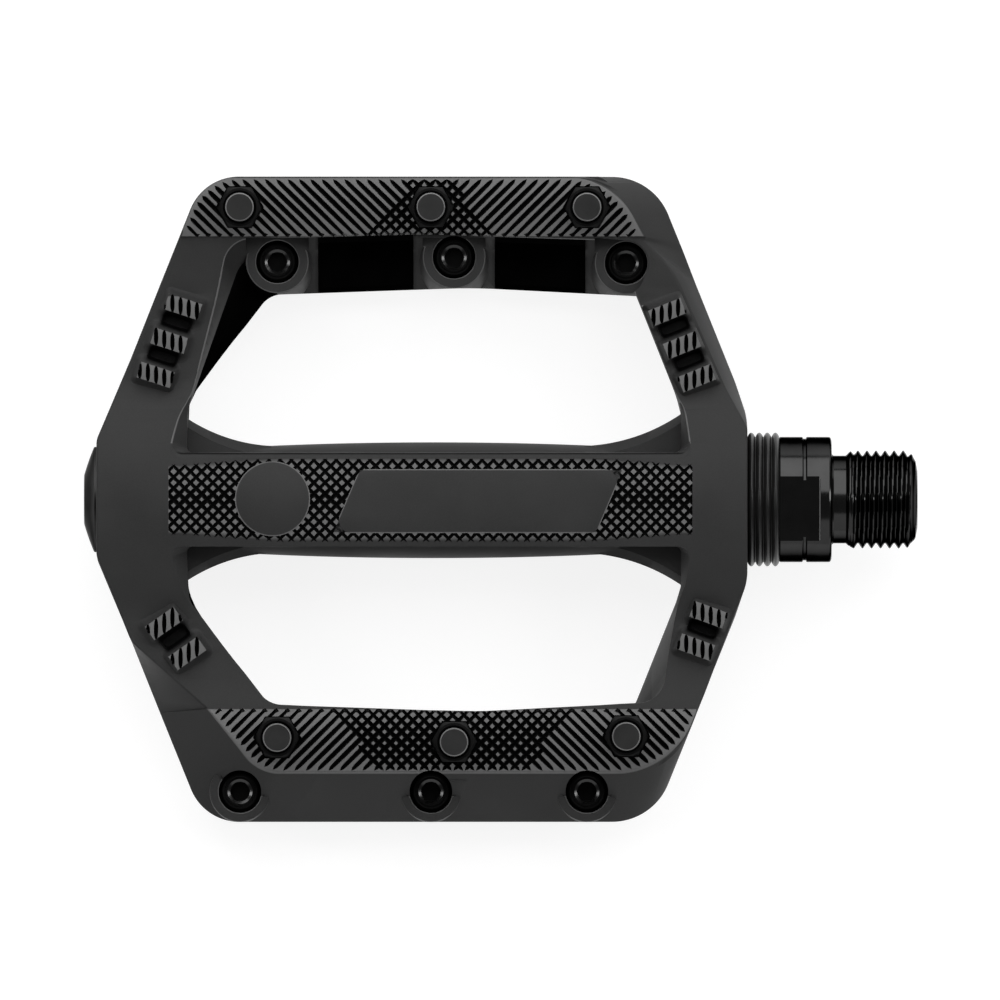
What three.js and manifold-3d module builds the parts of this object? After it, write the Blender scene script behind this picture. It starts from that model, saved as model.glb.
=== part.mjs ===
// Flat bicycle pedal for the left crank: a moulded nylon platform that spins on a steel spindle.
// Millimetres. The axle lies along X with its crank end at +X, and +Z is up.
// The origin is on the axle, at the middle of the pedal's overall box.
// A half turn about X brings the platform back onto itself, so each face form is made once and turned.

import * as THREE from 'three';
import { mergeVertices } from 'three/addons/utils/BufferGeometryUtils.js';
import Module from 'manifold-3d';

const wasm = await Module();
wasm.setup();

// Overall sizes
const overallLength = 117;
const platformLength = 91.3;
const platformWidth = 90.6;
const capProud = 1.8;
const pinReach = 11.9;

// Heights of the upper face above the axle
const bulgeHeight = 10;
const bulgeRadius = 28;
const bulgeBlendRadius = 10;
const armHeight = 5.6;
const padEdgeHeight = 7.5;
const padCrown = 0.9;
const padStep = 0.5;
const padRiseLength = 11;
const kneeHeight = 2.5;

// Grip pads: one reaches the rim, the other stands back by the rail's slant
const rimPadWidth = 8.4;
const setBackPadWidth = 9;
const railSlant = 6.9;

// V grooves across the grip pads, and the sunk bed on the axle tube's crown
const groovePitch = 1.59;
const grooveEdgeDepth = 0.48;
const grooveCrownWidth = 0.64;
const grooveMargin = 0.45;
const grooveRunOut = 0.3;
const groovePhaseShare = 0.4;
const bedDepth = 0.4;
const discRadius = 5.25;

// Plan corners and walls
const cornerRadius = 12;
const leastReach = 0.4;
const beamHalf = 6.6;
const barrelRadius = 8.1;
const windowWallTop = 6;
const flareTop = 9.4;
const outboardFlare = 2.5;
const inboardFlare = 1.4;
const railWall = 2.6;
const plateThickness = 2.7;

// Gussets where the axle tube meets the arms
const gussetHalf = 3.4;
const gussetEdgeHalf = 1.6;
const gussetBevel = 1.2;
const gussetRoot = 2;

// Traction blocks on the arms
const blockTop = 7.6;
const blockRoot = 0.8;
const blockLength = 4.9;
const blockWidth = 2.1;
const blockDraft = 0.45;

// Traction pins, their nuts and the bosses round them
const pinRadius = 2;
const pinTipChamfer = 0.25;
const headRadius = 2.75;
const headHeight = 3;
const headSeat = 1.4;
const pinSocketAcross = 2.5;
const pinSocketDepth = 1.6;
const nutAcross = 5.6;
const nutThickness = 2.6;
const nutRecess = 0.2;
const counterboreRadius = 3;
const pinClearance = 0.15;
const nutClearance = 0.12;
const innerBossTop = 3.4;
const innerBossRadius = 4.4;
const innerBossFootRadius = 5.7;
const rimBossTop = 2.6;
const rimBossRadius = 4.2;
const rimBossFootRadius = 4.6;
const rimPinInset = 4.3;

// Outboard bearing, its washer and nut
const bearingSeatDepth = 11.3;
const bearingWidth = 5;
const bearingRadius = 7;
const bearingBoreRadius = 3.5;
const innerRaceRadius = 4.5;
const outerRaceBore = 6;
const ballRadius = 1;
const ballCount = 8;
const ballClearance = 0.06;
const cageThickness = 0.6;
const cageWidth = 3;
const shieldThickness = 0.3;
const shieldInset = 0.15;
const shieldGap = 0.1;
const washerThickness = 0.6;
const washerRadius = 4.6;
const lockNutAcross = 10;
const lockNutThickness = 2.5;
const stubRadius = 3;
const stubProud = 0.3;

// Inboard bush and seal
const journalRadius = 6;
const runningClearance = 0.05;
const bushRadius = 7;
const bushLength = 8;
const sealSpigotRadius = 7.6;
const sealSpigotLength = 1.5;
const sealCrestRadius = 9.4;
const sealValleyRadius = 8.85;
const sealLength = 4.4;
const sealRibs = 4;
const sealCrestShares = [0.35, 0.65];
const sealLipClearance = 0.1;

// Spindle outside the platform
const collarRadius = 8.8;
const collarLength = 7.3;
const collarGap = 0.15;
const collarEdge = 0.5;
const collarGrooveAt = 3.5;
const collarGrooveWidth = 0.7;
const collarGrooveDepth = 0.15;
const flatAcross = 15;
const flatTurnDegrees = 9.8;
const flangeLength = 1.6;
const neckRadius = 6.16;
const neckLength = 2.4;
const threadRadius = 6.88;
const threadEndLength = 1.6;
const threadEndRadius = 3.65;
const hexKeyAcross = 6;
const hexKeyDepth = 7;

// Spindle inside the platform
const shaftWaistRadius = 5.1;
const shaftTipRadius = 4;
const shaftShoulderRadius = 4.3;
const shaftStep = 1;
const axleBoreRadius = 5.6;

// Dust cap and its ring
const capFlangeRadius = 7.4;
const capFaceRadius = 3.65;
const capRimThickness = 0.4;
const capSpigotRadius = 6.9;
const capSpigotLength = 2.2;
const capKeyAcross = 5;
const capKeyDepth = 1.3;
const ringSectionRadius = 0.52;
const ringGrooveWidth = 1.2;
const ringGrooveDepth = 1;
const ringGrooveSetBack = 0.4;

// Shared clearances and facet counts
const seatClearance = 0.1;
const faceGap = 0.02;
const flatTolerance = 0.002;
const overrun = 1;
const axleSides = 28;
const pinSides = 12;
const bossSides = 16;
const ballSides = 8;

// Places worked out from the sizes above
const halfWidth = platformWidth / 2;
const capFace = -overallLength / 2;
const outboardFace = capFace + capProud;
const inboardFace = outboardFace + platformLength;
const collarStart = inboardFace + sealLength + collarGap;
const collarEnd = collarStart + collarLength;
const bearingShoulder = outboardFace + bearingSeatDepth;
const axleSeatRadius = bearingRadius + seatClearance;
const cutHeight = pinReach + overrun;

// Plan corners of the platform's rim. Each row is [x, y, radius]: x as a share of the platform's
// length from the outboard face, y as a share of half its width, radius as a share of cornerRadius.
// "rim" is the upper face's edge on the side where it is full width, "setBack" the edge on the
// other side, where the rail slants, and "knee" the widest line between the two faces.
const rimShares = [
  { rim: [0, 0.185, 0.23], setBack: [0, 0.175, 0.23], knee: [0, 0.186, 0.23], steps: 3 },
  { rim: [0.0531, 0.439, 0.3], setBack: [0.0535, 0.442, 0.3], knee: [0.0531, 0.4415, 0.3], steps: 2 },
  { rim: [0.0973, 0.664, 0.3], setBack: [0.171, 0.649, 0.8], knee: [0.0968, 0.662, 0.3], steps: 3 },
  { rim: [0.1645, 1, 0.61], setBack: [0.251, 0.848, 0.53], knee: [0.1645, 1, 0.61], steps: 7 },
  { rim: [0.791, 1, 0.88], setBack: [0.8875, 0.848, 1], knee: [0.8552, 1, 0.71], steps: 7 },
  { rim: [0.843, 0.7985, 0.14], setBack: [0.922, 0.662, 0.3], knee: [0.903, 0.7616, 0.3], steps: 2 },
  { rim: [0.8845, 0.718, 1.33], setBack: [0.935, 0.598, 0.3], knee: [0.9198, 0.6733, 0.3], steps: 3 },
  { rim: [0.966, 0.3457, 0.35], setBack: [0.9825, 0.3466, 0.3], knee: [0.9815, 0.3642, 0.3], steps: 2 },
  { rim: [1, 0.2216, 0.06], setBack: [1, 0.2558, 0.7], knee: [1, 0.2539, 0.7], steps: 3 },
];

// Plan corners of a window, from the axle tube's outboard end round to its inboard end, in the same
// shares. "wide" is its edge in the face whose pad reaches the rim, "narrow" in the other face.
const windowShares = [
  { wide: [0.1396, 0.267, 0.67], narrow: [0.1424, 0.3135, 0.25], steps: 3 },
  { wide: [0.2045, 0.805, 0.33], narrow: [0.2651, 0.635, 0.3], steps: 4 },
  { wide: [0.5, 0.821, 6.7], narrow: [0.577, 0.657, 6.7], steps: 4 },
  { wide: [0.7937, 0.801, 0.17], narrow: [0.8675, 0.627, 0.33], steps: 4 },
  { wide: [0.8981, 0.2837, 0.33], narrow: [0.8981, 0.262, 0.25], steps: 3 },
];
const windowEndShares = { outboard: 0.1383, inboard: 0.8981, radius: 0.07, flaredRadius: 0.14 };

// Gussets in plan: along the tube from the window's end as a share of the platform's length, then
// along the arm and the curve's control height as shares of half the width.
const gussetShares = { outboard: [0.13, 0.06, 0.252], inboard: [0.148, 0.067, 0.265], control: 0.174 };
const gussetFootShare = 0.166;

// Traction block groups: the first block's centre, the step to the next, and the tilt in degrees
const blockGroupShares = [
  { first: [0.133, 0.597], step: [-0.0211, -0.1055], count: 3, tilt: -18 },
  { first: [0.8768, 0.5806], step: [0.0227, -0.1026], count: 3, tilt: 22 },
  { first: [0.1035, -0.384], step: [0.0361, -0.0927], count: 2, tilt: 35 },
  { first: [0.9403, -0.3565], step: [-0.0197, -0.1004], count: 2, tilt: -20 },
];

// Plain forms on the axle tube's crown: the bed's ends and the disc's centre along the axle as shares
// of the platform's length, then the slanted bar's corners as [x, y], y as a share of half the width
const bedShares = { start: 0.1106, end: 0.9157, disc: 0.2705 };
const barShares = [[0.3625, -0.1038], [0.7678, -0.1038], [0.8094, 0.0938], [0.4042, 0.0938]];
const barCornerShare = 0.15;

// Pin places: along the axle as shares of the platform's length from the outboard face, and for the
// inner row also the distance from the axle as a share of half the width
const rimPinShares = [0.22, 0.5137, 0.7535];
const innerPinShares = [[0.2776, 0.7366], [0.5493, 0.7506], [0.8138, 0.7329]];

// Materials
const nylonMaterial = new THREE.MeshStandardMaterial({ color: 0x3a3a3b, roughness: 0.62, metalness: 0 });
const steelMaterial = new THREE.MeshStandardMaterial({ color: 0x0d0d0e, roughness: 0.22, metalness: 0.6 });
const pinMaterial = new THREE.MeshStandardMaterial({ color: 0x2c2c2d, roughness: 0.4, metalness: 0.7 });
const rubberMaterial = new THREE.MeshStandardMaterial({ color: 0x161617, roughness: 0.5, metalness: 0 });
const bearingMaterial = new THREE.MeshStandardMaterial({ color: 0xb8babd, roughness: 0.25, metalness: 1 });
const bushMaterial = new THREE.MeshStandardMaterial({ color: 0x8a6b3a, roughness: 0.5, metalness: 0.8 });

// Turns a closed geometry into a solid, with its faces outward
function solidOf(geometry) {
  const bare = new THREE.BufferGeometry();
  bare.setAttribute('position', geometry.getAttribute('position').clone());
  if (geometry.index) bare.setIndex(geometry.index.clone());
  const merged = mergeVertices(bare);
  const places = merged.getAttribute('position').array;
  const corners = [];
  for (let i = 0; i < merged.index.count; i += 3) {
    const [a, b, c] = [merged.index.getX(i), merged.index.getX(i + 1), merged.index.getX(i + 2)];
    if (a !== b && b !== c && c !== a) corners.push(a, b, c);
  }
  if (signedVolume(places, corners) < 0) corners.reverse();
  const mesh = new wasm.Mesh({
    numProp: 3,
    vertProperties: Float32Array.from(places),
    triVerts: Uint32Array.from(corners),
  });
  return new wasm.Manifold(mesh);
}

function signedVolume(places, corners) {
  const points = [new THREE.Vector3(), new THREE.Vector3(), new THREE.Vector3()];
  let sum = 0;
  for (let i = 0; i < corners.length; i += 3) {
    points.forEach((point, k) => point.fromArray(places, 3 * corners[i + k]));
    sum += points[0].dot(points[1].clone().cross(points[2]));
  }
  return sum;
}

function geometryOf(solid) {
  const mesh = solid.getMesh();
  const geometry = new THREE.BufferGeometry();
  geometry.setAttribute('position', new THREE.BufferAttribute(new Float32Array(mesh.vertProperties), 3));
  geometry.setIndex(Array.from(mesh.triVerts));
  geometry.computeVertexNormals();
  return geometry;
}

// A named mesh of a solid, with triangles that lie in one plane merged
function named(name, solid, material) {
  const mesh = new THREE.Mesh(geometryOf(solid.asOriginal().simplify(flatTolerance)), material);
  mesh.name = name;
  return mesh;
}

// The same form on the other face of the platform
function turnedOver(geometry) {
  return geometry.clone().rotateX(Math.PI);
}

function onBothFaces(geometry) {
  return solidOf(geometry).add(solidOf(turnedOver(geometry)));
}

function lengthAt(share) {
  return outboardFace + share * platformLength;
}

// A revolved form about the axle from [x, radius] points
function revolve(points, sides = axleSides) {
  const profile = points.map(([x, radius]) => new THREE.Vector2(radius, x));
  return new THREE.LatheGeometry(profile, sides).rotateZ(-Math.PI / 2);
}

// A closed revolved ring about the axle, rectangular in section
function tube(start, end, boreRadius, outerRadius, sides = axleSides) {
  return revolve([
    [start, boreRadius],
    [end, boreRadius],
    [end, outerRadius],
    [start, outerRadius],
    [start, boreRadius],
  ], sides);
}

// A round post along Z between two heights
function post(x, y, low, high, lowRadius, highRadius, sides) {
  const geometry = new THREE.CylinderGeometry(highRadius, lowRadius, high - low, sides);
  return geometry.rotateX(Math.PI / 2).translate(x, y, (low + high) / 2);
}

// A hexagonal prism along Z with two of its flats facing +Y and -Y
function hexPrism(x, y, low, high, across) {
  const radius = across / 2 / Math.cos(Math.PI / 6);
  const geometry = new THREE.CylinderGeometry(radius, radius, high - low, 6);
  return geometry.rotateX(Math.PI / 2).rotateZ(Math.PI / 2).translate(x, y, (low + high) / 2);
}

// A hexagonal prism along the axle
function axleHexPrism(start, end, across) {
  const radius = across / 2 / Math.cos(Math.PI / 6);
  const geometry = new THREE.CylinderGeometry(radius, radius, end - start, 6);
  return geometry.rotateZ(-Math.PI / 2).translate((start + end) / 2, 0, 0);
}

// A section drawn in Y and Z, carried along X
function extrudeAlongAxle(section, start, end) {
  const shape = new THREE.Shape(section.map(([y, z]) => new THREE.Vector2(y, z)));
  const geometry = new THREE.ExtrudeGeometry(shape, { depth: end - start, bevelEnabled: false });
  const basis = new THREE.Matrix4().makeBasis(
    new THREE.Vector3(0, 1, 0),
    new THREE.Vector3(0, 0, 1),
    new THREE.Vector3(1, 0, 0),
  );
  return geometry.applyMatrix4(basis).translate(start, 0, 0);
}

// Skins a stack of rings that have the same number of points, and closes both ends
function loft(rings) {
  const sides = rings[0].length;
  const points = rings.flat();
  const corners = [];
  for (let ring = 0; ring + 1 < rings.length; ring += 1) {
    for (let i = 0; i < sides; i += 1) {
      const next = (i + 1) % sides;
      const low = ring * sides;
      const high = low + sides;
      corners.push(low + i, low + next, high + next);
      corners.push(low + i, high + next, high + i);
    }
  }
  const ends = [rings[0], rings[rings.length - 1]];
  ends.forEach((ring, end) => {
    const base = end * (rings.length - 1) * sides;
    if (sides === 3) {
      const order = end === 0 ? [2, 1, 0] : [0, 1, 2];
      corners.push(...order.map((corner) => base + corner));
      return;
    }
    const contour = ring.map(([x, y]) => new THREE.Vector2(x, y));
    const reversed = THREE.ShapeUtils.isClockWise(contour) !== (end === 0);
    for (const [a, b, c] of THREE.ShapeUtils.triangulateShape(contour, [])) {
      const order = reversed ? [c, b, a] : [a, b, c];
      corners.push(...order.map((corner) => base + corner));
    }
  });
  const geometry = new THREE.BufferGeometry();
  geometry.setAttribute('position', new THREE.Float32BufferAttribute(points.flat(), 3));
  geometry.setIndex(corners);
  return geometry;
}

// Rounds each corner of a plan outline with a circular arc of steps + 1 points
function roundedOutline(corners) {
  const points = [];
  corners.forEach((corner, i) => {
    const here = new THREE.Vector2(corner.x, corner.y);
    const before = corners[(i + corners.length - 1) % corners.length];
    const after = corners[(i + 1) % corners.length];
    const into = here.clone().sub(new THREE.Vector2(before.x, before.y)).normalize();
    const out = new THREE.Vector2(after.x, after.y).sub(here).normalize();
    const halfTurn = Math.acos(Math.min(1, Math.max(-1, into.dot(out)))) / 2;
    const reach = Math.max(corner.radius * Math.tan(halfTurn), leastReach);
    const start = here.clone().addScaledVector(into, -reach);
    const end = here.clone().addScaledVector(out, reach);
    const weight = Math.cos(halfTurn);
    for (let step = 0; step <= corner.steps; step += 1) {
      const t = step / corner.steps;
      const shares = [(1 - t) ** 2, 2 * t * (1 - t) * weight, t ** 2];
      const point = new THREE.Vector2();
      [start, here, end].forEach((place, k) => point.addScaledVector(place, shares[k]));
      point.divideScalar(shares[0] + shares[1] + shares[2]);
      points.push(point);
    }
  });
  return points;
}

function atHeight(outline, height) {
  const heightAt = typeof height === 'function' ? height : () => height;
  return outline.map((point) => [point.x, point.y, heightAt(point.y)]);
}

// The upper face's height from the axle out to the rim, as [distance, height] points
function faceProfile(padOuter, padWidth) {
  const padInner = padOuter - padWidth;
  const blend = 1 + bulgeBlendRadius / bulgeRadius;
  const bulgeTurn = Math.sqrt(2 * bulgeRadius * (bulgeHeight - armHeight) / blend);
  const bulgeEnd = bulgeTurn * blend;
  const riseStart = padInner - padRiseLength;
  const rise = padEdgeHeight - padStep - armHeight;
  const points = [];
  const bulgeSteps = 5;
  for (let i = 0; i <= bulgeSteps; i += 1) {
    const reach = bulgeTurn * i / bulgeSteps;
    points.push([reach, bulgeHeight - reach ** 2 / (2 * bulgeRadius)]);
  }
  for (const share of [0.5, 0]) {
    const left = (bulgeEnd - bulgeTurn) * share;
    points.push([bulgeEnd - left, armHeight + left ** 2 / (2 * bulgeBlendRadius)]);
  }
  const padSteps = 4;
  const riseSteps = 3;
  for (let i = 0; i <= riseSteps; i += 1) {
    const share = i / riseSteps;
    points.push([riseStart + padRiseLength * share, armHeight + rise * share ** 2]);
  }
  for (let i = 0; i <= padSteps; i += 1) {
    const share = i / padSteps;
    points.push([padInner + padWidth * share, padEdgeHeight + 4 * padCrown * share * (1 - share)]);
  }
  points.push([padOuter + railSlant + overrun, padEdgeHeight]);
  return points;
}

const rimSideProfile = faceProfile(halfWidth, rimPadWidth);
const setBackSideProfile = faceProfile(halfWidth - railSlant, setBackPadWidth);

// Height of the upper face at a given y: the pad that reaches the rim is on the +Y side
function faceHeight(y) {
  const profile = y > 0 ? rimSideProfile : setBackSideProfile;
  const reach = Math.abs(y);
  const after = profile.findIndex(([distance], i) => i > 0 && distance >= reach);
  const [lowReach, lowHeight] = profile[after - 1];
  const [highReach, highHeight] = profile[after];
  const span = highReach - lowReach;
  const share = span > 0 ? (reach - lowReach) / span : 0;
  return lowHeight + share * (highHeight - lowHeight);
}

// Both faces seen along the axle, as one closed section
function faceSection() {
  const upper = [
    ...setBackSideProfile.slice(1).reverse().map(([reach, height]) => [-reach, height]),
    ...rimSideProfile,
  ];
  return [...upper, ...upper.map(([y, z]) => [-y, -z])].reverse();
}

// One ring of the rim: the named row on the +Y side, and another on the -Y side, clockwise
function rimOutline(backRow, frontRow) {
  const corner = (row, name, side) => ({
    x: lengthAt(row[name][0]),
    y: side * row[name][1] * halfWidth,
    radius: row[name][2] * cornerRadius,
    steps: row.steps,
  });
  const back = rimShares.map((row) => corner(row, backRow, 1));
  const front = rimShares.map((row) => corner(row, frontRow, -1)).reverse();
  return roundedOutline([...back, ...front]);
}

// The platform's outer walls: both faces' edges joined through the knee line
function rimSolid() {
  const upper = rimOutline('rim', 'setBack');
  const knee = rimOutline('knee', 'knee');
  const lower = rimOutline('setBack', 'rim');
  return solidOf(loft([
    atHeight(upper, cutHeight),
    atHeight(upper, faceHeight),
    atHeight(knee, (y) => kneeHeight * y / halfWidth),
    atHeight(lower, (y) => -faceHeight(-y)),
    atHeight(lower, -cutHeight),
  ]));
}

function windowOutline(row, flared) {
  const [outboardShift, inboardShift] = flared ? [outboardFlare, inboardFlare] : [0, 0];
  const radius = (flared ? windowEndShares.flaredRadius : windowEndShares.radius) * cornerRadius;
  const corners = windowShares.map((corner) => ({
    x: lengthAt(corner[row][0]),
    y: corner[row][1] * halfWidth,
    radius: corner[row][2] * cornerRadius,
    steps: corner.steps,
  }));
  corners[0].x -= outboardShift;
  corners[corners.length - 1].x += inboardShift;
  return roundedOutline([
    { x: lengthAt(windowEndShares.outboard) - outboardShift, y: beamHalf, radius, steps: 2 },
    ...corners,
    { x: lengthAt(windowEndShares.inboard) + inboardShift, y: beamHalf, radius, steps: 2 },
  ]);
}

// A window's walls run from its wide edge to its narrow one, and flare beside the axle
function windowCutter() {
  return loft([
    atHeight(windowOutline('wide', true), cutHeight),
    atHeight(windowOutline('wide', true), flareTop),
    atHeight(windowOutline('wide', false), windowWallTop),
    atHeight(windowOutline('narrow', false), -windowWallTop),
    atHeight(windowOutline('narrow', true), -flareTop),
    atHeight(windowOutline('narrow', true), -cutHeight),
  ]);
}

// The barrel-shaped axle tube between the arms
function axleBarrel() {
  const start = lengthAt(windowEndShares.outboard) - overrun;
  const end = lengthAt(windowEndShares.inboard) + overrun;
  const steps = 6;
  const points = [[start, 0]];
  for (let i = 0; i <= steps; i += 1) {
    const share = i / steps;
    const swell = 4 * share * (1 - share);
    points.push([start + (end - start) * share, beamHalf + (barrelRadius - beamHalf) * swell]);
  }
  points.push([end, 0]);
  return revolve(points);
}

// A web in the corner between the tube and an arm, with a hollow curved edge and bevelled faces
function gusset(endShare, shares, direction) {
  const root = lengthAt(endShare);
  const [reachShare, controlShare, armShare] = shares;
  const controlX = root + direction * controlShare * platformLength;
  const ring = (bevel, height) => {
    const armY = armShare * halfWidth - bevel;
    const controlY = gussetShares.control * halfWidth - bevel;
    const footX = root + direction * (reachShare * platformLength - bevel);
    const curve = new THREE.QuadraticBezierCurve(
      new THREE.Vector2(root, armY),
      new THREE.Vector2(controlX, controlY),
      new THREE.Vector2(footX, gussetFootShare * halfWidth - bevel),
    );
    const edge = curve.getPoints(5);
    const far = edge[edge.length - 1];
    const points = [
      new THREE.Vector2(root - direction * gussetRoot, armY),
      ...edge,
      new THREE.Vector2(far.x, 0),
      new THREE.Vector2(root - direction * gussetRoot, 0),
    ];
    return atHeight(points, height);
  };
  return loft([
    ring(gussetBevel, -gussetHalf),
    ring(0, -gussetEdgeHalf),
    ring(0, gussetEdgeHalf),
    ring(gussetBevel, gussetHalf),
  ]);
}

// Cored pockets that open towards the window, between the bosses of the inner pin row
function railPocket(start, end) {
  const ceiling = padEdgeHeight - plateThickness;
  const slope = railSlant / (padEdgeHeight + kneeHeight);
  const lowOuter = halfWidth - slope * (kneeHeight + ceiling);
  const mouth = halfWidth - railSlant - setBackPadWidth - padRiseLength / 2;
  const section = [
    [mouth, -ceiling],
    [lowOuter - railWall, -ceiling],
    [halfWidth - railWall, kneeHeight],
    [halfWidth - railWall, ceiling],
    [mouth, ceiling],
  ];
  return extrudeAlongAxle(section, start, end);
}

// A drafted traction block on an arm
function tractionBlock(centre, step, tilt) {
  const along = new THREE.Vector2(Math.cos(tilt), Math.sin(tilt));
  const across = step.clone().normalize();
  const corner = (a, b, grow) => centre.clone()
    .addScaledVector(along, a * (blockLength / 2 + grow))
    .addScaledVector(across, b * (blockWidth / 2 + grow));
  const ring = (grow, height) => {
    const signs = [[-1, 1], [1, 1], [1, -1], [-1, -1]];
    return atHeight(signs.map(([a, b]) => corner(a, b, grow)), height);
  };
  const low = armHeight - blockRoot;
  return loft([ring(blockDraft, low), ring(0, blockTop)]);
}

function tractionBlocks() {
  const blocks = [];
  for (const group of blockGroupShares) {
    const scale = new THREE.Vector2(platformLength, halfWidth);
    const first = new THREE.Vector2(lengthAt(group.first[0]), group.first[1] * halfWidth);
    const step = new THREE.Vector2(...group.step).multiply(scale);
    for (let i = 0; i < group.count; i += 1) {
      const centre = first.clone().addScaledVector(step, i);
      blocks.push(tractionBlock(centre, step, THREE.MathUtils.degToRad(group.tilt)));
    }
  }
  return blocks;
}

// One V groove of a pad on the upper face, at 45 degrees, as a cutter. It starts at a distance from
// the pad's inner edge, and its floor rises outward until it meets the face short of the rim.
function padGroove(foot, lean, side, padInner, padWidth, start) {
  const end = padWidth - grooveMargin;
  const inner = padEdgeHeight - grooveEdgeDepth;
  const outer = faceHeight(side * (padInner + end));
  const crownDepth = padEdgeHeight + padCrown - (inner + outer) / 2;
  const slope = grooveCrownWidth / 2 / crownDepth;
  const top = padEdgeHeight + padCrown + grooveRunOut;
  const across = new THREE.Vector2(-side, lean).normalize();
  return solidOf(loft([start, end].map((along) => {
    const floor = inner + (outer - inner) * along / end;
    const [x, y] = [foot + lean * along, side * (padInner + along)];
    const half = slope * (top - floor);
    return [
      [x, y, floor],
      [x + across.x * half, y + across.y * half, top],
      [x - across.x * half, y - across.y * half, top],
    ];
  })));
}

// All the grooves of one pad: they spread outward from its middle and stop short of the rim
function padGrooves(side, middle, padInner, padWidth) {
  const cutters = [];
  const count = Math.ceil(platformLength / groovePitch);
  for (let i = -count; i <= count; i += 1) {
    const foot = middle + (i + groovePhaseShare) * groovePitch;
    for (const lean of [1, -1]) {
      const start = Math.max(-grooveRunOut, lean * (middle - foot));
      if (start < padWidth - grooveMargin) {
        cutters.push(padGroove(foot, lean, side, padInner, padWidth, start));
      }
    }
  }
  const outline = rimOutline('rim', 'setBack').map((point) => [point.x, point.y]);
  const zone = new wasm.CrossSection([outline], 'EvenOdd').offset(-grooveMargin, 'Miter');
  return wasm.Manifold.union(cutters).intersect(zone.extrude(cutHeight));
}

// The sunk bed on the axle tube's crown, round a plain disc and a plain slanted bar
function crownBed() {
  const [start, end] = [lengthAt(bedShares.start), lengthAt(bedShares.end)];
  const floor = bulgeHeight - bedDepth;
  const box = new THREE.BoxGeometry(end - start, 2 * beamHalf, cutHeight - floor);
  const bed = solidOf(box.translate((start + end) / 2, 0, (cutHeight + floor) / 2));
  const low = floor - overrun;
  const high = cutHeight + overrun;
  const disc = post(lengthAt(bedShares.disc), 0, low, high, discRadius, discRadius, axleSides);
  const outline = roundedOutline(barShares.map(([x, y]) => (
    { x: lengthAt(x), y: y * halfWidth, radius: barCornerShare * cornerRadius, steps: 3 }
  )));
  const bar = loft([atHeight(outline, low), atHeight(outline, high)]);
  return bed.subtract(solidOf(disc)).subtract(solidOf(bar));
}

// Every pin: its place, and which way its tip points. The rim row's tips rise on the +Y side.
const rimPins = rimPinShares.map((share) => [lengthAt(share), halfWidth - rimPinInset]);
const innerPins = innerPinShares.map(([x, y]) => [lengthAt(x), y * halfWidth]);
const pinPlaces = [
  ...rimPins.map(([x, y]) => ({ x, y, up: 1 })),
  ...innerPins.map(([x, y]) => ({ x, y: -y, up: 1 })),
  ...rimPins.map(([x, y]) => ({ x, y: -y, up: -1 })),
  ...innerPins.map(([x, y]) => ({ x, y, up: -1 })),
];

// The space that one upward pin and its nut need: clearance hole, head counterbore, nut recess
function pinCutters({ x, y }) {
  const nutFloor = padEdgeHeight + padCrown - nutRecess - nutThickness;
  const holeRadius = pinRadius + pinClearance;
  return [
    post(x, y, -headSeat - overrun, nutFloor + overrun, holeRadius, holeRadius, pinSides),
    post(x, y, -cutHeight, headSeat, counterboreRadius, counterboreRadius, bossSides),
    hexPrism(x, y, nutFloor - faceGap, cutHeight, nutAcross + 2 * nutClearance),
  ];
}

// The stepped hole for the spindle: bearing seat, running hole, bush seat and seal counterbore
function axleBore() {
  const bushSeatEnd = inboardFace - sealSpigotLength - bushLength - 2 * faceGap;
  const sealSeatEnd = inboardFace - sealSpigotLength - faceGap;
  return revolve([
    [outboardFace - overrun, 0],
    [outboardFace - overrun, axleSeatRadius],
    [bearingShoulder, axleSeatRadius],
    [bearingShoulder, axleBoreRadius],
    [bushSeatEnd, axleBoreRadius],
    [bushSeatEnd, bushRadius + seatClearance],
    [sealSeatEnd, bushRadius + seatClearance],
    [sealSeatEnd, sealSpigotRadius + seatClearance],
    [inboardFace + overrun, sealSpigotRadius + seatClearance],
    [inboardFace + overrun, 0],
  ]);
}

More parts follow.
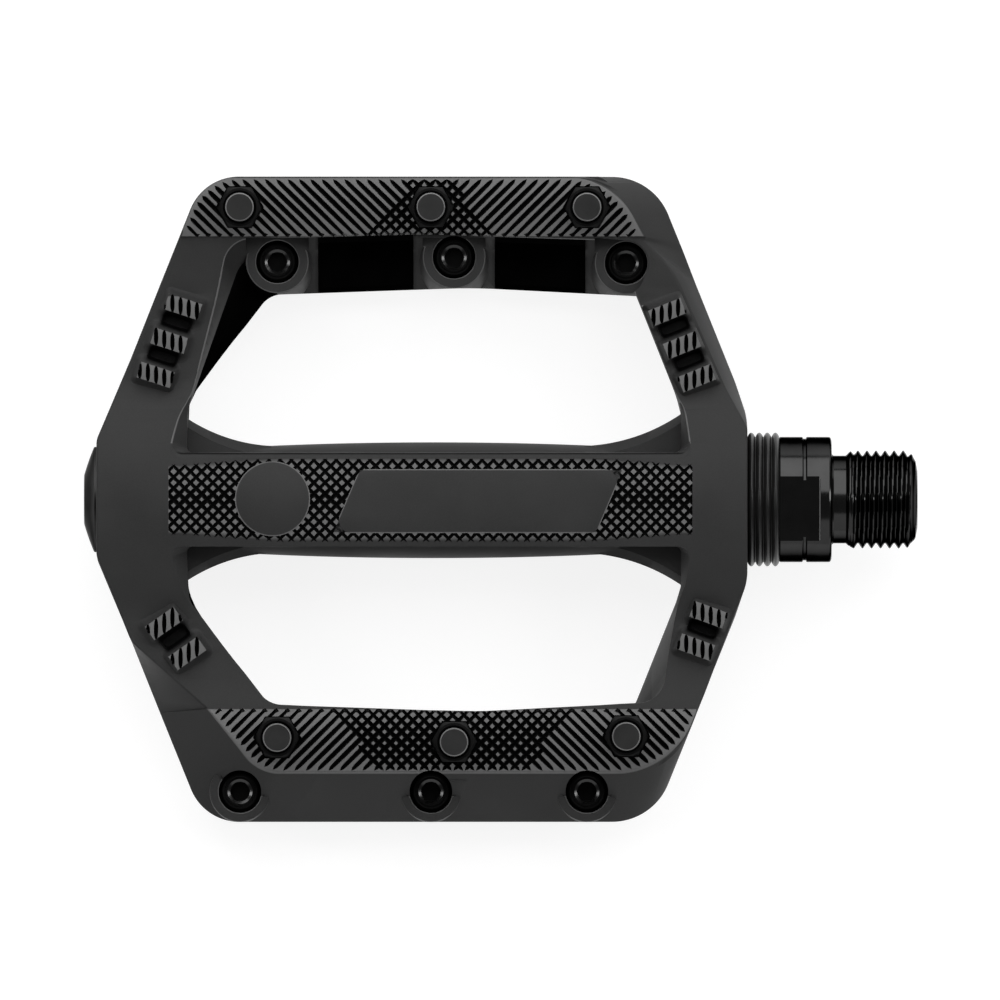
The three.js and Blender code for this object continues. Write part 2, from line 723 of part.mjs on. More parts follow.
function pedalBody() {
  const faces = solidOf(extrudeAlongAxle(faceSection(), outboardFace - overrun, inboardFace + overrun));
  const kneePrism = solidOf(loft([
    atHeight(rimOutline('knee', 'knee'), cutHeight),
    atHeight(rimOutline('knee', 'knee'), -cutHeight),
  ]));
  let body = rimSolid().intersect(faces);
  body = body.subtract(onBothFaces(windowCutter()));
  body = body.add(solidOf(axleBarrel()));

  for (const [name, direction] of [['outboard', 1], ['inboard', -1]]) {
    body = body.add(onBothFaces(gusset(windowEndShares[name], gussetShares[name], direction)));
  }

  for (let i = 0; i + 1 < innerPins.length; i += 1) {
    const start = innerPins[i][0] + innerBossFootRadius;
    const end = innerPins[i + 1][0] - innerBossFootRadius;
    body = body.subtract(onBothFaces(railPocket(start, end)));
  }

  const narrowPrism = solidOf(loft([
    atHeight(windowOutline('narrow', false), cutHeight),
    atHeight(windowOutline('narrow', false), -cutHeight),
  ]));
  for (const { x, y, up } of pinPlaces.filter((place) => place.y > 0)) {
    const plate = padEdgeHeight - plateThickness / 2;
    const rimBoss = post(x, y, -rimBossTop, plate, rimBossRadius, rimBossFootRadius, bossSides);
    const innerBoss = post(x, y, -plate, innerBossTop, innerBossFootRadius, innerBossRadius, bossSides);
    const boss = up > 0
      ? solidOf(rimBoss).intersect(kneePrism)
      : solidOf(innerBoss).subtract(narrowPrism);
    body = body.add(onBothFaces(geometryOf(boss)));
  }

  for (const block of tractionBlocks()) body = body.add(onBothFaces(block));

  const setBackPadInner = halfWidth - railSlant - setBackPadWidth;
  const grooves = [
    padGrooves(1, rimPins[1][0], halfWidth - rimPadWidth, rimPadWidth),
    padGrooves(-1, innerPins[1][0], setBackPadInner, setBackPadWidth),
    crownBed(),
  ];
  for (const cutter of grooves) body = body.subtract(onBothFaces(geometryOf(cutter)));

  for (const place of pinPlaces.filter(({ up }) => up > 0)) {
    for (const cutter of pinCutters(place)) body = body.subtract(onBothFaces(cutter));
  }
  return body.subtract(solidOf(axleBore()));
}

// A socket-headed traction pin, drawn tip up with its head underneath
function tractionPin({ x, y, up }) {
  const profile = [
    [0, headSeat - headHeight],
    [headRadius, headSeat - headHeight],
    [headRadius, headSeat - faceGap],
    [pinRadius, headSeat - faceGap],
    [pinRadius, pinReach - pinTipChamfer],
    [pinRadius - pinTipChamfer, pinReach],
    [0, pinReach],
  ];
  const points = profile.map(([radius, height]) => new THREE.Vector2(radius, height));
  const body = new THREE.LatheGeometry(points, pinSides).rotateX(Math.PI / 2).translate(x, Math.abs(y), 0);
  const floor = headSeat - headHeight;
  const socket = hexPrism(x, Math.abs(y), floor - overrun, floor + pinSocketDepth, pinSocketAcross);
  const pin = solidOf(body).subtract(solidOf(socket));
  return placedPin(pin, y, up);
}

function hexNut({ x, y, up }) {
  const low = padEdgeHeight + padCrown - nutRecess - nutThickness;
  const high = low + nutThickness;
  const radius = pinRadius + pinClearance;
  const prism = solidOf(hexPrism(x, Math.abs(y), low, high, nutAcross));
  const hole = solidOf(post(x, Math.abs(y), low - overrun, high + overrun, radius, radius, pinSides));
  return placedPin(prism.subtract(hole), y, up);
}

// Sends a piece drawn tip up on the +Y side to its own side and face
function placedPin(solid, y, up) {
  const geometry = geometryOf(solid);
  if (up < 0) geometry.rotateX(Math.PI);
  const turnedY = up < 0 ? -Math.abs(y) : Math.abs(y);
  return solidOf(geometry.translate(0, y - turnedY, 0));
}

function spindle() {
  const neckStart = collarEnd;
  const threadStart = neckStart + neckLength;
  const endX = overallLength / 2;
  const threadEnd = endX - threadEndLength;
  const groove = collarStart + collarGrooveAt;
  const bushEnd = inboardFace - sealSpigotLength - bushLength;
  const raceEnd = bearingShoulder - bearingWidth - faceGap;
  const stubEnd = raceEnd - washerThickness - lockNutThickness - 2 * faceGap - stubProud;
  const shape = solidOf(revolve([
    [stubEnd, 0],
    [stubEnd, stubRadius - pinTipChamfer],
    [stubEnd + pinTipChamfer, stubRadius],
    [raceEnd + pinTipChamfer, stubRadius],
    [raceEnd + pinTipChamfer, bearingBoreRadius],
    [bearingShoulder, bearingBoreRadius],
    [bearingShoulder, shaftShoulderRadius],
    [bearingShoulder + shaftStep, shaftShoulderRadius],
    [bearingShoulder + shaftStep, shaftTipRadius],
    [bushEnd, shaftWaistRadius],
    [bushEnd + shaftStep, journalRadius],
    [collarStart, journalRadius],
    [collarStart, collarRadius],
    [groove, collarRadius],
    [groove + collarGrooveDepth, collarRadius - collarGrooveDepth],
    [groove + collarGrooveWidth - collarGrooveDepth, collarRadius - collarGrooveDepth],
    [groove + collarGrooveWidth, collarRadius],
    [collarEnd - collarEdge, collarRadius],
    [collarEnd, collarRadius - collarEdge],
    [collarEnd, neckRadius],
    [threadStart, neckRadius],
    [threadStart + threadRadius - neckRadius, threadRadius],
    [threadEnd, threadRadius],
    [(threadEnd + endX) / 2, (2 * threadRadius + threadEndRadius) / 3],
    [endX, threadEndRadius],
    [endX, 0],
  ]));
  const flatLength = collarLength - flangeLength;
  const flatDepth = collarRadius - flatAcross / 2 + overrun;
  const flat = new THREE.BoxGeometry(flatLength, 2 * (collarRadius + overrun), flatDepth);
  flat.translate(collarStart + flatLength / 2, 0, (flatAcross + flatDepth) / 2);
  flat.rotateX(THREE.MathUtils.degToRad(flatTurnDegrees));
  const key = axleHexPrism(endX - hexKeyDepth, endX + overrun, hexKeyAcross);
  return shape.subtract(onBothFaces(flat)).subtract(solidOf(key));
}

// Ribbed rubber sleeve: a spigot pressed in the platform, then equal ribs out to the collar
function spindleSeal() {
  const bore = journalRadius + sealLipClearance;
  const start = inboardFace - sealSpigotLength;
  const faceStart = inboardFace + faceGap;
  const end = collarStart - collarGap;
  const pitch = (end - faceStart) / sealRibs;
  const points = [
    [start, bore],
    [start, sealSpigotRadius],
    [faceStart, sealSpigotRadius],
    [faceStart, sealValleyRadius],
  ];
  for (let rib = 0; rib < sealRibs; rib += 1) {
    const foot = faceStart + pitch * rib;
    for (const share of sealCrestShares) points.push([foot + pitch * share, sealCrestRadius]);
    points.push([foot + pitch, sealValleyRadius]);
  }
  points.push([end, bore]);
  points.push([start, bore]);
  return solidOf(revolve(points));
}

function spindleBush() {
  const start = inboardFace - sealSpigotLength - bushLength - faceGap;
  return solidOf(tube(start, start + bushLength, journalRadius + runningClearance, bushRadius));
}

const pitchRadius = (innerRaceRadius + outerRaceBore) / 2;
const bearingMiddle = bearingShoulder - faceGap / 2 - bearingWidth / 2;

// Race sections with a ball groove of three flats
function raceGroove(radius, towards) {
  const half = Math.sqrt((ballRadius + ballClearance) ** 2 - (pitchRadius - radius) ** 2);
  const deep = pitchRadius + towards * (ballRadius + 2 * ballClearance);
  return [
    [bearingMiddle - half, radius],
    [bearingMiddle - half / 2, deep],
    [bearingMiddle + half / 2, deep],
    [bearingMiddle + half, radius],
  ];
}

function outerRace() {
  const start = bearingMiddle - bearingWidth / 2;
  const end = bearingMiddle + bearingWidth / 2;
  return solidOf(revolve([
    [start, outerRaceBore],
    ...raceGroove(outerRaceBore, 1),
    [end, outerRaceBore],
    [end, bearingRadius],
    [start, bearingRadius],
    [start, outerRaceBore],
  ]));
}

function innerRace() {
  const start = bearingMiddle - bearingWidth / 2;
  const end = bearingMiddle + bearingWidth / 2;
  const bore = bearingBoreRadius + runningClearance;
  return solidOf(revolve([
    [start, bore],
    [start, innerRaceRadius],
    ...raceGroove(innerRaceRadius, -1),
    [end, innerRaceRadius],
    [end, bore],
    [start, bore],
  ]));
}

function bearingShield(side) {
  const middle = bearingMiddle + side * (bearingWidth / 2 - shieldInset - shieldThickness / 2);
  const start = middle - shieldThickness / 2;
  const outer = outerRaceBore * Math.cos(Math.PI / axleSides) - shieldGap / 2;
  return solidOf(tube(start, start + shieldThickness, innerRaceRadius + shieldGap, outer));
}

function bearingBall(index) {
  const ball = new THREE.SphereGeometry(ballRadius, ballSides, ballSides - 2);
  ball.rotateZ(Math.PI / 2).translate(bearingMiddle, pitchRadius, 0);
  return solidOf(ball.rotateX(2 * Math.PI * index / ballCount));
}

function bearingCage() {
  const start = bearingMiddle - cageWidth / 2;
  const inner = pitchRadius - cageThickness / 2;
  let cage = solidOf(tube(start, start + cageWidth, inner, inner + cageThickness));
  const pocketRadius = ballRadius + 2 * ballClearance;
  for (let i = 0; i < ballCount; i += 1) {
    const pocket = new THREE.CylinderGeometry(pocketRadius, pocketRadius, 2 * cageWidth, ballSides);
    pocket.rotateY(Math.PI / ballSides).translate(bearingMiddle, pitchRadius, 0);
    cage = cage.subtract(solidOf(pocket.rotateX(2 * Math.PI * i / ballCount)));
  }
  return cage;
}

function thrustWasher() {
  const end = bearingShoulder - bearingWidth - 2 * faceGap;
  return solidOf(tube(end - washerThickness, end, stubRadius + seatClearance, washerRadius));
}

function lockNut() {
  const end = bearingShoulder - bearingWidth - washerThickness - 3 * faceGap;
  const start = end - lockNutThickness;
  const hole = tube(start - overrun, end + overrun, 0, stubRadius + seatClearance);
  return solidOf(axleHexPrism(start, end, lockNutAcross)).subtract(solidOf(hole));
}

// Press-in dust cap: tapered flange, spigot with a ring groove, and a shallow key recess
function dustCap() {
  const flangeBack = outboardFace - faceGap;
  const grooveStart = outboardFace + ringGrooveSetBack;
  const shape = revolve([
    [capFace, 0],
    [capFace, capFaceRadius],
    [flangeBack - capRimThickness, capFlangeRadius],
    [flangeBack, capFlangeRadius],
    [flangeBack, capSpigotRadius],
    [grooveStart, capSpigotRadius],
    [grooveStart, capSpigotRadius - ringGrooveDepth],
    [grooveStart + ringGrooveWidth, capSpigotRadius - ringGrooveDepth],
    [grooveStart + ringGrooveWidth, capSpigotRadius],
    [outboardFace + capSpigotLength, capSpigotRadius],
    [outboardFace + capSpigotLength, 0],
  ]);
  const key = axleHexPrism(capFace - overrun, capFace + capKeyDepth, capKeyAcross);
  return solidOf(shape).subtract(solidOf(key));
}

function capRing() {
  const middle = outboardFace + ringGrooveSetBack + ringGrooveWidth / 2;
  const outer = axleSeatRadius * Math.cos(Math.PI / axleSides) - faceGap;
  const ring = new THREE.TorusGeometry(outer - ringSectionRadius, ringSectionRadius, 6, axleSides);
  return solidOf(ring.rotateY(Math.PI / 2).translate(middle, 0, 0));
}

// The spindle and what is clamped to it stay still in the crank
function spindleGroup() {
  const group = new THREE.Group();
  group.add(named('spindle', spindle(), steelMaterial));
  group.add(named('bearing_inner_race', innerRace(), bearingMaterial));
  group.add(named('thrust_washer', thrustWasher(), bearingMaterial));
  group.add(named('lock_nut', lockNut(), steelMaterial));
  return group;
}

function ballGroup() {
  const group = new THREE.Group();
  group.add(named('bearing_cage', bearingCage(), bushMaterial));
  for (let i = 0; i < ballCount; i += 1) {
    group.add(named(`bearing_ball_${i + 1}`, bearingBall(i), bearingMaterial));
  }
  return group;
}

// The platform and everything that turns with it
function platformGroup() {
  const group = new THREE.Group();
  group.add(named('pedal_body', pedalBody(), nylonMaterial));
  pinPlaces.forEach((place, i) => {
    group.add(named(`traction_pin_${i + 1}`, tractionPin(place), pinMaterial));
    group.add(named(`pin_nut_${i + 1}`, hexNut(place), steelMaterial));
  });
  group.add(named('dust_cap', dustCap(), steelMaterial));
  group.add(named('dust_cap_ring', capRing(), rubberMaterial));
  group.add(named('spindle_seal', spindleSeal(), rubberMaterial));
  group.add(named('spindle_bush', spindleBush(), bushMaterial));
  group.add(named('bearing_outer_race', outerRace(), bearingMaterial));
  group.add(named('bearing_shield_outboard', bearingShield(-1), bearingMaterial));
  group.add(named('bearing_shield_inboard', bearingShield(1), bearingMaterial));
  return group;
}

const pedal = new THREE.Group();
pedal.add(spindleGroup(), ballGroup(), platformGroup());

export default pedal;
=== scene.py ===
"""Looks of the flat pedal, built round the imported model. Sizes are in millimetres until a piece is
finished, and then scaled to metres. The axle lies along X, the crank end is at +X and +Z is up."""

import math

import bmesh
import bpy
import numpy as np
from mathutils import Matrix, Vector


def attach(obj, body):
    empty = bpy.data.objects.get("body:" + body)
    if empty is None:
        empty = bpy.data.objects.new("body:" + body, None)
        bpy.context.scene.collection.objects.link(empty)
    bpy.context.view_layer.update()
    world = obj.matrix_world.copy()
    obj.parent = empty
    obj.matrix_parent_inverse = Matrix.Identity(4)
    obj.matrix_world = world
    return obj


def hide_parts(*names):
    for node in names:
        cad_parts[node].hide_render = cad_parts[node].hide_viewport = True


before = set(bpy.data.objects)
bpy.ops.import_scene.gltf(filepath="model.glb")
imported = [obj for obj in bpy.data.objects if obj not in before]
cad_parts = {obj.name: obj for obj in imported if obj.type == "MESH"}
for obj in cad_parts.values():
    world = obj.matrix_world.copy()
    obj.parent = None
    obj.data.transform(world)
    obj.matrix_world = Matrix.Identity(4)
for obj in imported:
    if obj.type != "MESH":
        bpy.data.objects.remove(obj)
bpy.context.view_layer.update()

MILLIMETRE = 0.001

# ---- sizes shared with the model ----
OVERALL_LENGTH = 117
PLATFORM_LENGTH = 91.3
HALF_WIDTH = 45.3
CAP_PROUD = 1.8
PIN_REACH = 11.9
CAP_FACE = -OVERALL_LENGTH / 2
OUTBOARD = CAP_FACE + CAP_PROUD
INBOARD = OUTBOARD + PLATFORM_LENGTH

BULGE_HEIGHT = 10
BULGE_RADIUS = 28
BULGE_BLEND = 10
ARM_HEIGHT = 5.6
PAD_EDGE_HEIGHT = 7.5
PAD_CROWN = 0.9
PAD_STEP = 0.5
PAD_RISE = 11
KNEE_HEIGHT = 2.5
RIM_PAD_WIDTH = 8.4
SET_BACK_PAD_WIDTH = 9
RAIL_SLANT = 6.9
CORNER_RADIUS = 12
LEAST_REACH = 0.4
BEAM_HALF = 6.6
BARREL_RADIUS = 8.1
WINDOW_WALL_TOP = 6
FLARE_TOP = 9.4
OUTBOARD_FLARE = 2.5
INBOARD_FLARE = 1.4
RAIL_WALL = 2.6
PLATE = 2.7
GUSSET_HALF = 3.4
GUSSET_EDGE_HALF = 1.6
GUSSET_BEVEL = 1.2
GUSSET_ROOT = 2
BLOCK_TOP = 7.6
BLOCK_LENGTH = 4.9
BLOCK_WIDTH = 2.3
PIN_RADIUS = 2
HEAD_RADIUS = 2.75
HEAD_HEIGHT = 3
HEAD_SEAT = 1.4
NUT_ACROSS = 5.6
NUT_THICKNESS = 2.6
NUT_LOW = PAD_EDGE_HEIGHT + PAD_CROWN - 0.2 - NUT_THICKNESS
COUNTERBORE = 3
INNER_BOSS_TOP = 3.4
INNER_BOSS_RADIUS = 4.4
INNER_BOSS_FOOT = 5.7
RIM_BOSS_TOP = 2.6
RIM_BOSS_RADIUS = 4.2
RIM_BOSS_FOOT = 4.6
RIM_PIN_Y = 41
OVERRUN = 1
CUT_HEIGHT = PIN_REACH + OVERRUN
GAP = 0.02
EDGE_ROUND = 0.16
RIM_ROUND = 0.3
BEAM_ROUND = 0.9

COLLAR_START = INBOARD + 4.4 + 0.15
COLLAR_END = COLLAR_START + 7.3
SHOULDER = OUTBOARD + 11.3
END_X = OVERALL_LENGTH / 2
FLAT_TURN = 9.8

RIM_ROWS = {
    "rim": [(0, 0.185, 0.23), (0.0531, 0.439, 0.3), (0.0973, 0.664, 0.3), (0.1645, 1, 0.61), (0.791, 1, 0.88),
            (0.843, 0.7985, 0.14), (0.8845, 0.718, 1.33), (0.966, 0.3457, 0.35), (1, 0.2216, 0.06)],
    "set_back": [(0, 0.175, 0.23), (0.0535, 0.442, 0.3), (0.171, 0.649, 0.8), (0.251, 0.848, 0.53),
                 (0.8875, 0.848, 1), (0.922, 0.662, 0.3), (0.935, 0.598, 0.3), (0.9825, 0.3466, 0.3),
                 (1, 0.2558, 0.7)],
    "knee": [(0, 0.186, 0.23), (0.0531, 0.4415, 0.3), (0.0968, 0.662, 0.3), (0.1645, 1, 0.61),
             (0.8552, 1, 0.71), (0.903, 0.7616, 0.3), (0.9198, 0.6733, 0.3), (0.9815, 0.3642, 0.3),
             (1, 0.2539, 0.7)],
}
WINDOW_ROWS = {
    "wide": [(0.1396, 0.267, 0.67), (0.2045, 0.805, 0.33), (0.5, 0.821, 6.7), (0.7937, 0.801, 0.17),
             (0.8981, 0.2837, 0.33)],
    "narrow": [(0.1424, 0.3135, 0.25), (0.2651, 0.635, 0.3), (0.577, 0.657, 6.7), (0.8675, 0.627, 0.33),
               (0.8981, 0.262, 0.25)],
}
WINDOW_ENDS = (0.1383, 0.8981)
WINDOW_END, FLARED_END = 0.07, 0.14
GUSSETS = {0.1383: (0.13, 0.06, 0.252, 1), 0.8981: (0.148, 0.067, 0.265, -1)}
GUSSET_CONTROL = 0.174
GUSSET_FOOT = 0.166
BLOCK_GROUPS = [
    ((0.133, 0.597), (-0.0211, -0.1055), 3, -18),
    ((0.8768, 0.5806), (0.0227, -0.1026), 3, 22),
    ((0.1035, -0.384), (0.0361, -0.0927), 2, 35),
    ((0.9403, -0.3565), (-0.0197, -0.1004), 2, -20),
]
RIM_PINS = [0.22, 0.5137, 0.7535]
INNER_PINS = [(0.2776, 0.7366), (0.5493, 0.7506), (0.8138, 0.7329)]

# ---- fineness ----
ARC_DETAIL = 4
OUTLINE_STEP = 1.6


def length_at(share):
    return OUTBOARD + share * PLATFORM_LENGTH


# ---- shells: (points, faces) ----
def loft(rings):
    """Skins rings with equal numbers of points, and closes both ends with one face each."""
    sides = len(rings[0])
    points = [p for ring in rings for p in ring]
    faces = []
    for ring in range(len(rings) - 1):
        for i in range(sides):
            low, j = ring * sides, (i + 1) % sides
            faces.append((low + i, low + j, low + sides + j, low + sides + i))
    faces.append(tuple(reversed(range(sides))))
    faces.append(tuple(range((len(rings) - 1) * sides, len(rings) * sides)))
    return points, faces


def revolve(profile, sides=64, wave=None):
    """Turns (x, radius) points about the axle. wave(x, angle) adds to the radius."""
    points, faces, rings = [], [], []
    for x, radius in profile:
        if radius == 0:
            rings.append([len(points)] * sides)
            points.append((x, 0, 0))
            continue
        rings.append(list(range(len(points), len(points) + sides)))
        for i in range(sides):
            angle = 2 * math.pi * i / sides
            r = radius + (wave(x, angle) if wave else 0)
            points.append((x, r * math.cos(angle), r * math.sin(angle)))
    if profile[0] == profile[-1]:
        points = points[:-sides]
        rings[-1] = rings[0]
    for one, two in zip(rings, rings[1:]):
        for i in range(sides):
            j = (i + 1) % sides
            corners = [one[i], one[j], two[j], two[i]]
            face = tuple(c for k, c in enumerate(corners) if c not in corners[:k])
            if len(face) > 2:
                faces.append(face)
    return points, faces


def upright(shell):
    """Stands a shell that was turned about the axle on end, its +X up."""
    return [(-z, y, x) for x, y, z in shell[0]], shell[1]


def moved(shell, x=0, y=0, z=0):
    return [(a + x, b + y, c + z) for a, b, c in shell[0]], shell[1]


def turned_over(shell):
    return [(x, -y, -z) for x, y, z in shell[0]], shell[1]


def turned_about_axle(shell, degrees):
    c, s = math.cos(math.radians(degrees)), math.sin(math.radians(degrees))
    return [(x, y * c - z * s, y * s + z * c) for x, y, z in shell[0]], shell[1]


def hex_ring(across, height, count=6):
    radius = across / 2 / math.cos(math.pi / count)
    ring = [math.pi * (2 * i / count) for i in range(count)]
    return [(radius * math.cos(a), radius * math.sin(a), height) for a in ring]


def hex_prism(x, y, low, high, across):
    return moved(loft([hex_ring(across, low), hex_ring(across, high)]), x, y)


def axle_hex(start, end, across):
    shell = loft([hex_ring(across, start), hex_ring(across, end)])
    return [(z, y, -x) for x, y, z in shell[0]], shell[1]


def along_axle(section, start, end):
    """A section in (y, z) carried along X."""
    return loft([[(start, y, z) for y, z in section], [(end, y, z) for y, z in section]])


def object_of(name, *shells):
    """One object of several closed shells, with every face outward."""
    points, faces = [], []
    for shell_points, shell_faces in shells:
        base = len(points)
        points.extend(shell_points)
        faces.extend(tuple(base + i for i in face) for face in shell_faces)
    mesh = bpy.data.meshes.new(name)
    mesh.from_pydata(points, [], faces)
    work = bmesh.new()
    work.from_mesh(mesh)
    bmesh.ops.recalc_face_normals(work, faces=work.faces)
    work.to_mesh(mesh)
    work.free()
    made = bpy.data.objects.new(name, mesh)
    bpy.context.scene.collection.objects.link(made)
    return made


def both_faces(*shells):
    return list(shells) + [turned_over(shell) for shell in shells]


def bake(piece):
    """Replaces a piece's mesh by what its modifiers make of it."""
    graph = bpy.context.evaluated_depsgraph_get()
    graph.update()
    made = bpy.data.meshes.new_from_object(piece.evaluated_get(graph))
    old = piece.data
    piece.modifiers.clear()
    piece.data = made
    bpy.data.meshes.remove(old)
    return piece


def combine(piece, other, operation):
    """Adds, cuts or keeps the shared part. The other object is used up."""
    step = piece.modifiers.new("combine", "BOOLEAN")
    step.object = other
    step.operation = operation
    step.solver = "MANIFOLD"
    bake(piece)
    drop(other)
    return piece


def drop(piece):
    mesh = piece.data
    bpy.data.objects.remove(piece)
    bpy.data.meshes.remove(mesh)


def cut(piece, *shells):
    return combine(piece, object_of("cutter", *shells), "DIFFERENCE")


def joined(piece, other):
    """Puts the other's mesh in the piece without working out what they share."""
    work = bmesh.new()
    work.from_mesh(piece.data)
    work.from_mesh(other.data)
    work.to_mesh(piece.data)
    work.free()
    drop(other)
    return piece


def shade(piece, degrees=32):
    piece.data.shade_smooth()
    piece.data.set_sharp_from_angle(angle=math.radians(degrees))
    return piece


# ---- the platform's plan ----
def rounded_outline(corners, counts=None):
    """Rounds each (x, y, radius, steps) corner and splits the straight runs between them."""
    arcs = []
    for i, (x, y, radius, steps) in enumerate(corners):
        here = Vector((x, y))
        into = (here - Vector(corners[i - 1][:2])).normalized()
        out = (Vector(corners[(i + 1) % len(corners)][:2]) - here).normalized()
        half_turn = math.acos(max(-1, min(1, into.dot(out)))) / 2
        reach = max(radius * math.tan(half_turn), LEAST_REACH)
        start, end, weight = here - into * reach, here + out * reach, math.cos(half_turn)
        arc = []
        for step in range(steps * ARC_DETAIL + 1):
            t = step / (steps * ARC_DETAIL)
            a, b, c = (1 - t) ** 2, 2 * t * (1 - t) * weight, t ** 2
            arc.append((start * a + here * b + end * c) / (a + b + c))
        arcs.append(arc)
    points = []
    for i, arc in enumerate(arcs):
        points.extend(arc)
        after = arcs[(i + 1) % len(arcs)][0]
        split = counts[i] if counts else max(1, round((after - arc[-1]).length / OUTLINE_STEP))
        points.extend(arc[-1].lerp(after, k / split) for k in range(1, split))
    return points


def run_counts(corners):
    """How many parts each straight run is split in, the same for every row of the outline."""
    places = [Vector(c[:2]) for c in corners]
    gaps = [(places[(i + 1) % len(places)] - p).length for i, p in enumerate(places)]
    return [max(1, round(gap / OUTLINE_STEP)) for gap in gaps]


def at_height(outline, height):
    return [(p.x, p.y, height(p.y) if callable(height) else height) for p in outline]


def face_profile(pad_outer, pad_width):
    """The upper face from the axle to the rim, as [distance, height] points."""
    pad_inner = pad_outer - pad_width
    turn = math.sqrt(2 * BULGE_RADIUS * (BULGE_HEIGHT - ARM_HEIGHT) / (1 + BULGE_BLEND / BULGE_RADIUS))
    bulge_end = turn * (1 + BULGE_BLEND / BULGE_RADIUS)
    rise = PAD_EDGE_HEIGHT - PAD_STEP - ARM_HEIGHT
    points = []
    for i in range(25):
        reach = turn * i / 24
        points.append((reach, BULGE_HEIGHT - reach ** 2 / (2 * BULGE_RADIUS)))
    for i in range(1, 9):
        reach = turn + (bulge_end - turn) * i / 8
        points.append((reach, ARM_HEIGHT + (bulge_end - reach) ** 2 / (2 * BULGE_BLEND)))
    for i in range(9):
        points.append((pad_inner - PAD_RISE * (1 - i / 8), ARM_HEIGHT + rise * (i / 8) ** 2))
    for i in range(17):
        share = i / 16
        points.append((pad_inner + GAP + (pad_width - GAP) * share,
                       PAD_EDGE_HEIGHT + 4 * PAD_CROWN * share * (1 - share)))
    points.append((pad_outer + RAIL_SLANT + OVERRUN, PAD_EDGE_HEIGHT))
    return points


RIM_SIDE = face_profile(HALF_WIDTH, RIM_PAD_WIDTH)
SET_BACK_SIDE = face_profile(HALF_WIDTH - RAIL_SLANT, SET_BACK_PAD_WIDTH)


def face_height(y):
    profile = RIM_SIDE if y > 0 else SET_BACK_SIDE
    return float(np.interp(abs(y), [p[0] for p in profile], [p[1] for p in profile]))


def rim_corners(back_row, front_row):
    steps = [3, 2, 3, 7, 7, 2, 3, 2, 3]
    back = [(length_at(x), y * HALF_WIDTH, r * CORNER_RADIUS, n)
            for (x, y, r), n in zip(RIM_ROWS[back_row], steps)]
    front = [(length_at(x), -y * HALF_WIDTH, r * CORNER_RADIUS, n)
             for (x, y, r), n in zip(RIM_ROWS[front_row], steps)]
    return back + front[::-1]


def window_corners(row, outboard_shift=0.0, inboard_shift=0.0):
    steps = [3, 4, 4, 4, 3]
    corners = [(length_at(x), y * HALF_WIDTH, r * CORNER_RADIUS, n)
               for (x, y, r), n in zip(WINDOW_ROWS[row], steps)]
    end = (FLARED_END if outboard_shift else WINDOW_END) * CORNER_RADIUS
    x, y, r, n = corners[0]
    corners[0] = (x - outboard_shift, y, r, n)
    x, y, r, n = corners[-1]
    corners[-1] = (x + inboard_shift, y, r, n)
    first = (length_at(WINDOW_ENDS[0]) - outboard_shift, BEAM_HALF, end, 2)
    last = (length_at(WINDOW_ENDS[1]) + inboard_shift, BEAM_HALF, end, 2)
    return [first, *corners, last]


KNEE_RUNS = run_counts(rim_corners("knee", "knee"))
WINDOW_RUNS = run_counts(window_corners("wide"))


def rim_ring(back_row, front_row, height):
    return at_height(rounded_outline(rim_corners(back_row, front_row), KNEE_RUNS), height)


def window_ring(row, height, flared):
    shifts = (OUTBOARD_FLARE, INBOARD_FLARE) if flared else (0, 0)
    return at_height(rounded_outline(window_corners(row, *shifts), WINDOW_RUNS), height)


def inset(ring, distances):
    """A closed ring of (x, y, z) points moved inward by its distances."""
    count = len(ring)
    area = sum(a[0] * b[1] - b[0] * a[1] for a, b in zip(ring, ring[1:] + ring[:1]))
    turn = 1 if area > 0 else -1
    made = []
    for i, (x, y, z) in enumerate(ring):
        before, after = ring[i - 1], ring[(i + 1) % count]
        along = Vector((after[0] - before[0], after[1] - before[1])).normalized()
        reach = turn * distances[i]
        made.append((x - along.y * reach, y + along.x * reach, z))
    return made


def rounding(size, steps=4):
    """A quarter round as (distance in from the wall, drop below the face), from the wall to the face."""
    angles = [math.pi / 2 * i / steps for i in range(steps + 1)]
    return [(size * (1 - math.cos(a)), size * (1 - math.sin(a))) for a in angles]


def between(low, high, share):
    return [tuple(a + (b - a) * share for a, b in zip(p, q)) for p, q in zip(low, high)]


def rim_shell():
    knee = rim_ring("knee", "knee", lambda y: KNEE_HEIGHT * y / HALF_WIDTH)
    rings = []
    for upper in (True, False):
        rows = ("rim", "set_back") if upper else ("set_back", "rim")
        side = 1 if upper else -1
        face = rim_ring(*rows, lambda y: side * face_height(side * y))
        steps = rounding(RIM_ROUND)
        part = []
        for inward, fall in steps:
            wall = [tuple(a + (b - a) * fall / abs(p[2] - q[2]) for a, b in zip(p, q)) for p, q in zip(face, knee)]
            ring = inset(wall, [inward] * len(wall))
            part.append(ring)
        part.append([(x, y, side * CUT_HEIGHT) for x, y, z in part[-1]])
        rings = part[::-1] + [knee] if upper else rings + part
    return loft(rings)


def face_slab(lift=0.0):
    """Everything between the two faces, each raised by lift."""
    upper = [(-y, z + lift) for y, z in reversed(SET_BACK_SIDE[1:])] + [(y, z + lift) for y, z in RIM_SIDE]
    section = upper + [(-y, -z) for y, z in upper]
    return along_axle(section, OUTBOARD - OVERRUN, INBOARD + OVERRUN)


# Heights at which a window's wall turns from soft grey to black, which is painted shade. Beyond this distance from
# the axle and this x, it is painted black up to the pad, as shade.
DEEP_EDGES = (3.2, 2.3)
UNDER_PAD = (34.9, -31.4)
BOSS_SIDE = 5.72


def window_wall(height):
    share = (height + WINDOW_WALL_TOP) / (2 * WINDOW_WALL_TOP)
    return between(window_ring("narrow", -WINDOW_WALL_TOP, False), window_ring("wide", WINDOW_WALL_TOP, False), share)


